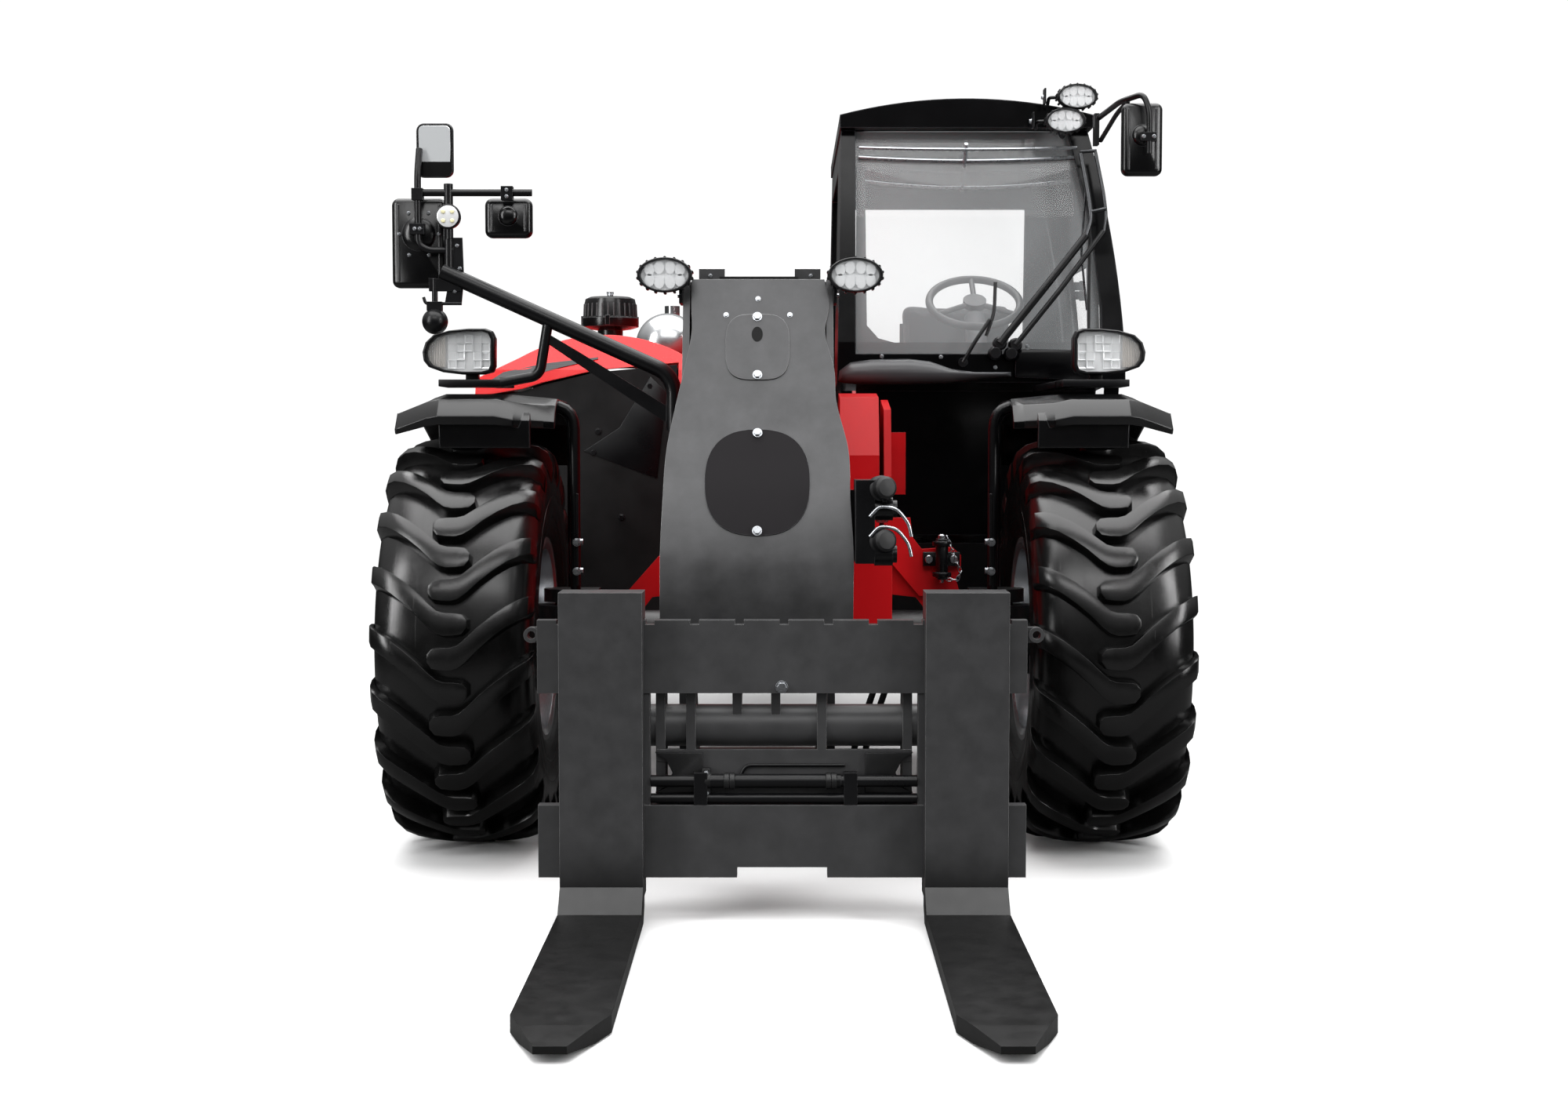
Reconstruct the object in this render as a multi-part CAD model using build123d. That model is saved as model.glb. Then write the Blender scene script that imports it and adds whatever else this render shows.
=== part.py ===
from build123d import *
import math
import os

# Telehandler with a pallet fork carriage. Millimetres, +Z up, the front faces -Y and the cab is
# on the +X side. Everything is drawn with Y = 0 over the front axle, Z = 0 on the ground, and
# save() moves it so that the middle of the machine's length is at Y = 0.

# ---- driving dimensions -------------------------------------------------------------------
wheelbase = 2850
front_reach = 2390        # front axle to the fork tips
rear_reach = wheelbase + 1000    # front axle to the back of the counterweight
tyre_radius = 655
tyre_width = 500
rim_radius = 305
bead_inset = 45           # tyre's widest place to its bead
wheel_track = 1980        # between the middles of the tyres
kingpin_offset = 270      # from the middle of the tyre in to its kingpin

frame_half = 330          # middle to the outside of a frame plate
frame_plate = 20
frame_bottom = 500
frame_top = 935
frame_front = -400
axle_notch_top = 800      # underside of the frame over each axle
axle_notch_half = 260

boom_x = -75              # the boom and its head stand right of the middle
boom_pivot_y = wheelbase + 150
boom_pivot_z = 1700
boom_slope = 2.7          # degrees, down to the front
boom_width = 400
boom_height = 390
boom_wall = 12
boom_front = boom_pivot_y + 350  # pivot to the open end of the outer boom
boom_tail = 160
inner_gap = 8             # all round between the two boom sections
inner_wall = 10
inner_front = boom_front + 25
inner_back = 250
pivot_pin_radius = 40
arm_foot = 1330           # top of the right front wall, where the mirror arm stands

head_width = 435
head_plate = 20
tilt_y = -860             # pivot of the carriage
tilt_z = 400
tilt_pin_radius = 30
rod_pin_y = -880          # where the tilt rod pushes the carriage
rod_pin_z = 690
tilt_base_y = -460        # fixed end of the tilt cylinder
tilt_base_z = 1420
tilt_barrel_radius = 55
tilt_rod_radius = 30
tilt_barrel_length = 715
tilt_base_pin = 25
tilt_rod_inside = 142     # base pin to the rod's inner end, at rest

carriage_left = 654
carriage_right = -664
carriage_front = -1140
carriage_plate = 40
upper_plate = (620, 817)  # bottom and top edges
lower_plate = (119, 316)
cross_tube_radius = 57.5
cross_tube_y = -1040
cross_tube_z = 520

tine_width = 223
tine_inner_left = 377
tine_front = -1200
tine_bottom = 5
tine_thickness = 40
tine_top = 895
slide_gap = 5             # between the forks and the carriage

lift_base_y = boom_pivot_y - 500
lift_base_z = 600
lift_eye_y = boom_pivot_y - 1600
lift_eye_z = 1300
lift_barrel_radius = 75
lift_rod_radius = 42
lift_barrel_length = 1236
lift_rod_inside = 100
gland = 30                # a cylinder's end, which the rod runs through
piston = 30               # its length
rod_gap = 0.5             # a rod in its gland
pin_gap = 0.5             # a pin in its bore

cab_inner = 175
cab_outer = 1190
cab_front = 500
cab_step_back = 880       # the cab's lower front, behind the steered wheel
cab_rear = 1950
cab_floor = 950
cab_sill = 1480           # underside of the part that reaches over the wheel
cab_top = 2385
cab_wall = 45
roof_top = 2488
roof_crown = 56           # rise of the roof from its edges to its middle
door_front = 640
door_rear = 1600
door_gap = 8
glass_thickness = 6
hinge_x = 1200            # axis of the door's hinge
hinge_y = door_rear + 12
hinge_radius = 12

hood_left = -362
hood_right = -1137
hood_front = 900
hood_rear = wheelbase - 750
hood_bottom = 1010
hood_crown = 1683
hood_wall = 25
hood_axis_z = 1690        # hinge at the hood's rear edge
hood_hinges = (-960, -890)
bay_bottom = 520
bay_rear = hood_rear - 110
panel = 12                # plastic and sheet panels

fender_inner = 709
fender_outer = 1200
fender_wall = 14
fender_gap = 122          # top of the tyre to the underside of its fender

counterweight_narrow = wheelbase + 270
counterweight_wide = wheelbase + 870
counterweight_half = 1080

axle_z = tyre_radius
wheel_x = wheel_track / 2
kingpin_x = wheel_x - kingpin_offset
nodes = {}


# ---- plain shapes -------------------------------------------------------------------------
def block(x0, x1, y0, y1, z0, z1):
    middle = Pos((x0 + x1) / 2, (y0 + y1) / 2, (z0 + z1) / 2)
    return middle * Box(x1 - x0, y1 - y0, z1 - z0)


def side_cut(points, x0, x1):
    """A (y, z) outline made as thick as x0 to x1."""
    outline = Polyline(*[(x0, y, z) for y, z in points], close=True)
    return extrude(make_face(outline), amount=x1 - x0, dir=(1, 0, 0))


def front_cut(points, y0, y1):
    """An (x, z) outline from y0 to y1."""
    outline = Polyline(*[(x, y0, z) for x, z in points], close=True)
    return extrude(make_face(outline), amount=y1 - y0, dir=(0, 1, 0))


def plan_cut(points, z0, z1):
    """An (x, y) outline from z0 to z1."""
    outline = Polyline(*[(x, y, z0) for x, y in points], close=True)
    return extrude(make_face(outline), amount=z1 - z0, dir=(0, 0, 1))


def bar(start, end, radius):
    axis = Vector(*end) - Vector(*start)
    place = Plane(origin=start, z_dir=axis).location
    return place * Cylinder(radius, axis.length, align=(Align.CENTER, Align.CENTER, Align.MIN))


def tube(points, radius, bend):
    """A round bar along straight runs joined by tangent arcs."""
    path = FilletPolyline(*points, radius=bend)
    return sweep(Plane(origin=path @ 0, z_dir=path % 0) * Circle(radius), path=path)


def across(x0, x1, y, z, radius):
    return bar((x0, y, z), (x1, y, z), radius)


def plate_to_pin(points, y, z, radius, x0, x1):
    """A lug: an outline joined to the round end about its pin."""
    return side_cut(points, x0, x1) + across(x0, x1, y, z, radius)


def solids_of(*shapes):
    return Compound(children=[s for shape in shapes for s in shape.solids()])


def mirrored(shape):
    return mirror(shape, about=Plane.YZ)


def save(name, shape):
    nodes[name] = shape
    shift = (rear_reach - front_reach) / 2
    solids = [Pos(0, -shift, 0) * solid for solid in shape.solids()]
    export_step(solids[0] if len(solids) == 1 else Compound(children=solids), f"parts/{name}.step")


# ---- wheels, knuckles and axles -----------------------------------------------------------
hub_radius = 140
hub_inner = -175          # from the middle of the tyre
spindle_end = -100
spindle_radius = 60
barrel_radius = 80
barrel_half = 112
kingpin_radius = 25
yoke_gap = 10
yoke_arm = 42
yoke_half = 45            # half its length along the machine
arm_reach = 170           # kingpin to the eye of the steering arm
steering_rod_z = axle_z - 37     # above the steering arms, below the barrel of the knuckle
steering_rod_radius = 20
steering_barrel = 330     # half its length


def tyre_section():
    half = tyre_width / 2
    bead = half - bead_inset
    belly = rim_radius + 0.45 * (tyre_radius - rim_radius)
    shoulder = (half - 12, tyre_radius - 22)
    wall = 32
    left, right = [], []
    for side, edges in ((-1, left), (1, right)):
        edges += [
            TangentArc((side * half, belly), (side * bead, rim_radius), tangent=(0, -1)),
            TangentArc((side * half, belly), (side * shoulder[0], shoulder[1]), tangent=(0, 1)),
            Line((side * bead, rim_radius), (side * (bead - wall), rim_radius)),
            ThreePointArc((side * (bead - wall), rim_radius), (side * (half - wall), belly),
                          (side * (shoulder[0] - wall), shoulder[1] - wall)),
        ]
    tread = ThreePointArc((-shoulder[0], shoulder[1]), (0, tyre_radius), shoulder)
    lining = Line((wall - shoulder[0], shoulder[1] - wall), (shoulder[0] - wall, shoulder[1] - wall))
    return make_face(left + right + [tread, lining])


def tyre():
    return revolve(tyre_section(), Axis.X, 360)


def wheel():
    """Rim, disc and hub of a left wheel, about its own middle."""
    seat = tyre_width / 2 - bead_inset
    flange = 14
    barrel = [
        (-seat - flange, rim_radius + 25), (-seat, rim_radius + 25), (-seat, rim_radius),
        (-140, rim_radius), (-110, rim_radius - 30), (110, rim_radius - 30), (140, rim_radius),
        (seat, rim_radius), (seat, rim_radius + 25), (seat + flange, rim_radius + 25),
        (seat + flange, rim_radius + 8), (seat + flange - 6, rim_radius - 12),
        (140, rim_radius - 12), (105, rim_radius - 43), (-105, rim_radius - 43),
        (-140, rim_radius - 12), (-seat - flange + 6, rim_radius - 12),
        (-seat - flange, rim_radius + 8)]
    rim = revolve(make_face(Polyline(*barrel, close=True)), Axis.X, 360)
    disc = bar((30, 0, 0), (46, 0, 0), rim_radius - 38)
    hub = bar((hub_inner, 0, 0), (40, 0, 0), hub_radius) + bar((40, 0, 0), (75, 0, 0), 0.8 * hub_radius)
    bore = bar((hub_inner, 0, 0), (spindle_end + 6, 0, 0), spindle_radius + pin_gap)
    return rim + disc + hub - bore


def knuckle(arm_side):
    """A left knuckle about its axle's middle: barrel, kingpins, spindle and steering arm."""
    body = Pos(kingpin_x, 0, axle_z) * Cylinder(barrel_radius, 2 * barrel_half)
    pin_half = barrel_half + yoke_gap + yoke_arm
    body += Pos(kingpin_x, 0, axle_z) * Cylinder(kingpin_radius, 2 * pin_half)
    body += across(kingpin_x, wheel_x + spindle_end, 0, axle_z, spindle_radius)
    arm_y = sorted((0, arm_side * arm_reach))
    arm_z = axle_z - barrel_half
    body += block(kingpin_x - 26, kingpin_x + 26, arm_y[0], arm_y[1], arm_z, arm_z + 26)
    body += bar((kingpin_x, arm_side * arm_reach, arm_z), (kingpin_x, arm_side * arm_reach, arm_z + 26), 26)
    return body


def axle(cylinder_side):
    """Beam, centre housing, yokes and steering cylinder of one axle."""
    beam_end = kingpin_x - barrel_radius - yoke_gap - 30
    beam = Pos(0, 0, axle_z) * Sphere(178)
    beam += across(-beam_end, beam_end, 0, axle_z, 92)
    arm_low = barrel_half + yoke_gap
    for side in (-1, 1):
        back = sorted((side * beam_end, side * (beam_end + 30)))
        reach = sorted((side * beam_end, side * kingpin_x))
        beam += block(back[0], back[1], -yoke_half, yoke_half,
                      axle_z - arm_low - yoke_arm, axle_z + arm_low + yoke_arm)
        for low in (-arm_low - yoke_arm, arm_low):
            arm = block(reach[0], reach[1], -yoke_half, yoke_half, axle_z + low, axle_z + low + yoke_arm)
            arm += Pos(side * kingpin_x, 0, axle_z + low + yoke_arm / 2) * Cylinder(60, yoke_arm)
            beam += arm - Pos(side * kingpin_x, 0, axle_z + low) * Cylinder(kingpin_radius + pin_gap, 200)
    y = cylinder_side * arm_reach
    z = steering_rod_z
    beam += across(-steering_barrel, steering_barrel, y, z, 40)
    for x in (-150, 150):
        beam += block(x - 20, x + 20, min(0, y), max(0, y), z - 15, z + 15)
    beam -= across(-steering_barrel - 1, steering_barrel + 1, y, z, steering_rod_radius + rod_gap)
    pads = [block(x - 45, x + 45, -120, 120, axle_z, axle_notch_top) for x in (-265, 265)]
    return beam + pads[0] + pads[1]


def steering_rod(side):
    y = side * arm_reach
    reach = kingpin_x - 1
    rod = across(-reach, reach, y, steering_rod_z, steering_rod_radius)
    for x in (-kingpin_x, kingpin_x):
        rod += Pos(x, y, steering_rod_z) * Cylinder(30, 50)
    return rod


# (y, z) of the fender's top about its axle, from the rear end over the wheel to the front lip
fender_peak = axle_z + tyre_radius + fender_gap + fender_wall
fender_top = [(430, fender_peak - 231), (300, fender_peak - 66), (120, fender_peak - 6),
              (-200, fender_peak), (-330, fender_peak - 21), (-372, fender_peak - 146)]
fender_tube_radius = 17


def fender():
    """A left front fender about its axle: a faceted arch with a front lip."""
    under = [(y * 0.962, z - fender_wall) for y, z in fender_top]
    under[-1] = (under[-1][0], fender_top[-1][1])
    under[0] = (under[0][0], fender_top[0][1])
    return side_cut(fender_top + under[::-1], fender_inner, fender_outer)


def fender_tubes():
    """Two upright tubes that carry the fender on the knuckle."""
    top = fender_top[2][1] - fender_wall - fender_tube_radius - 1
    foot = axle_z + barrel_half - 30
    legs = []
    for x, y in ((662, -150), (700, 130)):
        points = [(kingpin_x + 160, y, top), (x, y, top), (x, y, foot), (kingpin_x + 20, y / 5, foot)]
        leg = tube(points, fender_tube_radius, 36)
        legs.append(leg - Pos(kingpin_x, 0, axle_z) * Cylinder(barrel_radius, 400))
    return legs


def running_gear():
    for place, y, arm_side in (("front", 0, 1), ("rear", wheelbase, -1)):
        save(f"{place}_axle", Pos(0, y, 0) * axle(arm_side))
        save(f"{place}_steering_rod", Pos(0, y, 0) * steering_rod(arm_side))
        for side in ("left", "right"):
            knuckle_shape = knuckle(arm_side)
            fender_shape = solids_of(fender(), *fender_tubes())
            if place == "rear":
                fender_shape = mirror(fender_shape, about=Plane.XZ)
            wheel_shape = Pos(wheel_x, 0, axle_z) * wheel()
            tyre_shape = Pos(wheel_x, 0, axle_z) * tyre()
            for name, shape in (("knuckle", knuckle_shape), ("fender", fender_shape),
                                ("wheel", wheel_shape), ("tyre", tyre_shape)):
                shape = shape if side == "left" else mirrored(shape)
                save(f"{place}_{side}_{name}", Pos(0, y, 0) * shape)


# ---- frame --------------------------------------------------------------------------------
tower_gap = 24            # between the boom and the plates that hold it
boom_left = boom_x + boom_width / 2
boom_right = boom_x - boom_width / 2


def frame_plate_outline():
    rear = counterweight_narrow
    tower_top = boom_pivot_z + 120
    outline = [(frame_front, 620), (frame_front, frame_top)]
    outline += [(wheelbase - 500, frame_top), (boom_pivot_y - 190, boom_pivot_z),
                (boom_pivot_y - 110, tower_top), (boom_pivot_y + 120, tower_top),
                (rear + 110, boom_pivot_z - 60), (rear + 330, frame_top + 200)]
    outline += [(counterweight_wide - 8, frame_top), (counterweight_wide - 8, axle_notch_top)]
    for y in (wheelbase, 0):
        drop = axle_notch_top - 60 if y else frame_bottom + 80
        outline += [(y + axle_notch_half + 90, drop)]
        outline += [(y + axle_notch_half, axle_notch_top), (y - axle_notch_half, axle_notch_top)]
        if y:
            outline += [(y - axle_notch_half - 90, frame_bottom), (axle_notch_half + 190, frame_bottom)]
    outline += [(-axle_notch_half - 60, 700)]
    return outline


def main_frame():
    outer = frame_half
    inner = frame_half - frame_plate
    outline = frame_plate_outline()
    frame = side_cut(outline, inner, outer) + side_cut(outline, -outer, -inner)
    # cross members: front, under the cab, lift cylinder foot, rear
    for y0, y1, z0, z1 in ((frame_front, frame_front + 25, 640, 940),
                           (330, 830, frame_bottom, frame_bottom + 16),
                           (1500, 1530, frame_bottom, 760),
                           (lift_base_y + 100, lift_base_y + 125, 560, frame_top),
                           (counterweight_narrow, counterweight_narrow + 30, 820, frame_top)):
        frame += block(-outer, outer, y0, y1, z0, z1)
    frame += block(-outer, outer, 1500, lift_base_y + 125, frame_bottom - 40, frame_bottom)
    # left tower is a box that fills the width between frame plate and boom
    tower_inner = boom_left + tower_gap
    tower = [(boom_pivot_y - 190, frame_top), (boom_pivot_y - 190, boom_pivot_z),
             (boom_pivot_y - 110, boom_pivot_z + 120),
             (boom_pivot_y + 120, boom_pivot_z + 120), (counterweight_narrow + 100, boom_pivot_z - 60),
             (counterweight_narrow + 100, frame_top)]
    frame += side_cut(tower, tower_inner, outer)
    # boom pivot pin, from tower to tower
    frame += across(-outer, outer, boom_pivot_y, boom_pivot_z, pivot_pin_radius)
    # lift cylinder foot: two lugs and their pin
    for x in (-58, 38):
        foot = [(lift_base_y - 130, frame_bottom - 10), (lift_base_y + 130, frame_bottom - 10),
                (lift_base_y + 60, lift_base_z + 20), (lift_base_y - 60, lift_base_z + 20)]
        frame += plate_to_pin(foot, lift_base_y, lift_base_z, 65, boom_x + x, boom_x + x + 20)
    frame += across(boom_x - 58, boom_x + 58, lift_base_y, lift_base_z, tilt_pin_radius)
    return frame


def front_walls():
    """The raised red walls beside the boom's front, with the tube stub and the side gussets."""
    left = [(60, frame_top), (60, 1250), (130, 1440), (300, 1457), (560, 1300), (640, frame_top)]
    wall = side_cut(left, 184, 312) + block(184, frame_half, 60, 640, frame_top - 26, frame_top)
    base = frame_top - 20
    flange = [(70, base), (70, 1180), (110, 1400), (330, 1436), (560, 1180), (560, base)]
    wall += side_cut(flange, frame_half - 2, 352)
    wall += block(350, 402, 130, 180, 1120, 1325) - block(357, 395, 137, 173, 1150, 1330)
    right = [(-300, frame_top - 5), (-300, arm_foot), (560, arm_foot), (560, frame_top - 5)]
    wall += side_cut(right, -frame_half, -frame_half + frame_plate)
    for side in (-1, 1):
        gusset = [(side * (frame_half - 15), frame_top), (side * 400, 930), (side * 515, 800),
                  (side * 515, 735), (side * 470, 735), (side * 420, 800), (side * (frame_half - 15), 812)]
        wall += front_cut(gusset, -130, -100)
    return wall


def counterweight():
    """Cast block round the frame's tail, wide only behind the rear tyres' swing."""
    half = counterweight_half
    side = [(counterweight_wide, 560), (counterweight_wide, 1150), (counterweight_wide + 60, 1240),
            (rear_reach, 1180), (rear_reach, 640), (rear_reach - 50, 560)]
    block_shape = side_cut(side, -half, half)
    plan = [(-half, counterweight_wide), (-half, counterweight_wide + 40), (-half + 70, rear_reach),
            (half - 70, rear_reach), (half, counterweight_wide + 40), (half, counterweight_wide)]
    block_shape &= plan_cut(plan, 500, 1300)
    inner = frame_half - frame_plate - 1
    block_shape += block(-inner, inner, counterweight_narrow + 200, counterweight_wide, 840, 1080)
    return block_shape


hitch_bore = 16
hitch_ear = 24
hitch_low = 440           # underside of the lower ear
hitch_gap = 72            # between the ears


def rear_hitch():
    """Towing jaw under the counterweight: a plate and two bored ears."""
    y0, y1 = counterweight_wide - 60, rear_reach - 80
    jaw = block(-95, 95, y0, y0 + 25, hitch_low - 10, 800)
    for z in (hitch_low, hitch_low + hitch_ear + hitch_gap):
        ear = block(-60, 60, y0 + 25, y1, z, z + hitch_ear)
        ear += Pos(0, y1, z + hitch_ear / 2) * Cylinder(60, hitch_ear)
        jaw += ear - Pos(0, y1, z + hitch_ear / 2) * Cylinder(hitch_bore, 2 * hitch_ear)
    return jaw


def towing_plate():
    """Plate on the left gusset of the front frame, which carries the towing clevis."""
    outline = [(frame_half - 2, frame_top - 10), (frame_half - 2, 1054), (400, 1054), (410, 989),
               (438, 954), (535, 960), (562, 935), (562, 890), (545, 860), (560, 812), (430, 805)]
    return front_cut(outline, -150, -128)


# ---- boom ---------------------------------------------------------------------------------
def boom_place():
    return Pos(boom_x, boom_pivot_y, boom_pivot_z) * Rot(boom_slope, 0, 0)


def hollow_box(width, height, wall, y0, y1):
    outside = block(-width / 2, width / 2, y0, y1, -height / 2, height / 2)
    inside = block(-width / 2 + wall, width / 2 - wall, y0 - 1, y1 + 1, -height / 2 + wall, height / 2 - wall)
    return outside - inside


def on_boom(y, z):
    """Along-boom and above-boom place of a point that is given in the machine's frame."""
    a = math.radians(boom_slope)
    dy, dz = y - boom_pivot_y, z - boom_pivot_z
    return dy * math.cos(a) + dz * math.sin(a), dz * math.cos(a) - dy * math.sin(a)


def outer_boom():
    boom = hollow_box(boom_width, boom_height, boom_wall, -boom_front, boom_tail)
    boom += hollow_box(boom_width + 16, boom_height + 16, boom_wall + 8, -boom_front, -boom_front + 120)
    boom += bar((-boom_width / 2, 0, 0), (boom_width / 2, 0, 0), 78)
    boom -= bar((-boom_width / 2 - 5, 0, 0), (boom_width / 2 + 5, 0, 0), pivot_pin_radius + pin_gap)
    y, z = on_boom(lift_eye_y, lift_eye_z)
    for x in (-62, 42):
        low = -boom_height / 2 + 5
        lug = [(y - 190, low), (y + 190, low), (y + 50, z - 20), (y - 50, z - 20)]
        boom += plate_to_pin(lug, y, z, 62, x, x + 20)
        head = bar((x - 14 if x < 0 else x + 20, y, z), (x if x < 0 else x + 34, y, z), 34)
        boom += head
    return boom_place() * boom


def inner_boom():
    width = boom_width - 2 * (boom_wall + inner_gap)
    height = boom_height - 2 * (boom_wall + inner_gap)
    return boom_place() * hollow_box(width, height, inner_wall, -inner_front, -inner_back)


# (y, z) of the head cover's front face, from its top edge to its bottom edge
cover_curve = [(-655, 1765), (-700, 1620), (-775, 1420), (-860, 1220), (-925, 1060), (-955, 920), (-955, 770)]
cover_thickness = 12
# half width of the cover at those heights, right of the boom's middle and left of it
cover_width = [(1765, 193, 192), (1690, 193, 206), (1610, 191, 193), (1500, 211, 219), (1410, 231, 224),
               (1270, 257, 257), (1130, 265, 261), (980, 270, 269), (770, 270, 267)]


def head_plate_outline():
    front = [(y + cover_thickness, z) for y, z in cover_curve]
    lower = [(-936, 700), (-930, 420), (-905, 350), (-860, 330), (-812, 352), (-790, 400)]
    back = [(-700, 800), (-545, 1080), (-362, 1330), (-362, 1735)]
    return front + lower + back


def boom_head():
    half = head_width / 2
    outline = head_plate_outline()
    head = None
    for x in (-half, half - head_plate):
        plate = side_cut(outline, boom_x + x, boom_x + x + head_plate)
        head = plate if head is None else head + plate
    head += across(boom_x - half, boom_x + half, tilt_y, tilt_z, tilt_pin_radius)
    head += across(boom_x - half, boom_x + half, tilt_base_y, tilt_base_z, tilt_base_pin)
    head += across(boom_x - half, boom_x + half, -425, 1275, 24)
    head += across(boom_x - half, boom_x + half, -848, 1130, 24)
    # roof of the head, and the ears above it that carry the work lights
    head += side_cut([(-640, 1747), (-640, 1759), (-364, 1735), (-364, 1723)], boom_x - half, boom_x + half)
    for x in (-177, 101):
        head += block(x + boom_x + 5, x + boom_x + 80, -641, -633, 1735, 1796)
    # collar that joins the head to the inner boom
    y0 = -395
    collar = block(boom_x - half, boom_x + half, y0, y0 + 10, 1355, 1735)
    head += collar - block(boom_x - half + 60, boom_x + half - 60, y0 - 5, y0 + 20, 1390, 1700)
    return head


def head_cover():
    band = side_cut(cover_curve + [(y + cover_thickness, z) for y, z in cover_curve[::-1]], -600, 600)
    outline = [(boom_x + left, z) for z, right, left in cover_width]
    outline += [(boom_x - right, z) for z, right, left in cover_width[::-1]]
    return band & front_cut(outline, -1200, -400)


def oval_lamp(x, y, z, half_wide, half_high, depth):
    lamp = Plane(origin=(x, y, z), x_dir=(1, 0, 0), z_dir=(0, -1, 0)) * Ellipse(half_wide, half_high)
    return extrude(lamp, amount=depth, dir=(0, 1, 0))


def boom_work_lights():
    """Two oval lamps in front of the head's top corners, on straps along its side plates."""
    lights = []
    for x, side in ((-342, -1), (205, 1)):
        lamp = oval_lamp(x, -735, 1772, 81, 52, 60)
        plate = boom_x + side * head_width / 2
        strap = block(*sorted((plate, plate + side * 12)), -677, -560, 1695, 1748)
        lights.append(lamp + strap)
    return solids_of(*lights)


def couplers():
    """Hydraulic coupling block on the left of the head, with its two caps and levers."""
    x0 = boom_x + head_width / 2
    group = block(x0, 200, -860, -848, 960, 1160) + block(197, 250, -1000, -848, 960, 1190)
    for z in (985, 1110):
        group += bar((250, -966, z), (300, -966, z), 32)
        group += bar((300, -966, z), (312, -966, z), 24)
        group += block(270, 282, -1012, -960, z + 20, z + 66)
    return group


def cylinder_axis(start_y, start_z, end_y, end_z):
    direction = Vector(0, end_y - start_y, end_z - start_z)
    return direction.normalized(), direction.length


def barrel(x, base, towards, length, radius, rod_radius, eye_radius, eye_half, pin_radius):
    """Cylinder barrel with a base eye, bored for its pin and for the rod."""
    direction, _ = cylinder_axis(*base, *towards)
    start = Vector(x, *base)
    neck = eye_radius + 24
    body = bar(start, start + direction * (neck + 2), min(radius, eye_half - 3))
    body += bar(start + direction * neck, start + direction * length, radius)
    body += bar(start + direction * (length - gland), start + direction * length, radius + 8)
    body += across(x - eye_half, x + eye_half, *base, eye_radius)
    body -= across(x - eye_half - 1, x + eye_half + 1, *base, pin_radius + pin_gap)
    hollow_from = start + direction * (neck + 14)
    gland_start = start + direction * (length - gland)
    body -= bar(hollow_from, gland_start, radius - 12)
    return body - bar(gland_start - direction, start + direction * (length + 1), rod_radius + rod_gap)


def rod(x, base, towards, inside, rod_radius, piston_radius, eye_radius, eye_half):
    """Rod with its piston, and a closed eye that holds its own pin."""
    direction, length = cylinder_axis(*base, *towards)
    start = Vector(x, *base)
    body = bar(start + direction * inside, start + direction * (length - eye_radius * 0.6), rod_radius)
    body += bar(start + direction * inside, start + direction * (inside + piston), piston_radius)
    return body + across(x - eye_half, x + eye_half, *towards, eye_radius)


def boom_parts():
    save("outer_boom", outer_boom())
    save("inner_boom", inner_boom())
    save("boom_head", boom_head())
    save("head_cover", head_cover())
    save("boom_work_lights", boom_work_lights())
    save("hydraulic_couplers", couplers())
    tilt_base, tilt_eye = (tilt_base_y, tilt_base_z), (rod_pin_y, rod_pin_z)
    save("tilt_cylinder_barrel", barrel(boom_x, tilt_base, tilt_eye, tilt_barrel_length, tilt_barrel_radius,
                                        tilt_rod_radius, 46, 50, tilt_base_pin))
    save("tilt_cylinder_rod", rod(boom_x, tilt_base, tilt_eye, tilt_rod_inside, tilt_rod_radius,
                                  tilt_barrel_radius - 14, 42, 30))
    lift_base, lift_eye = (lift_base_y, lift_base_z), (lift_eye_y, lift_eye_z)
    save("lift_cylinder_barrel", barrel(boom_x, lift_base, lift_eye, lift_barrel_length, lift_barrel_radius,
                                        lift_rod_radius, 58, 30, tilt_pin_radius))
    save("lift_cylinder_rod", rod(boom_x, lift_base, lift_eye, lift_rod_inside, lift_rod_radius,
                                  lift_barrel_radius - 14, 50, 32))


# ---- carriage and forks -------------------------------------------------------------------
notch_pitch = 120


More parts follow.
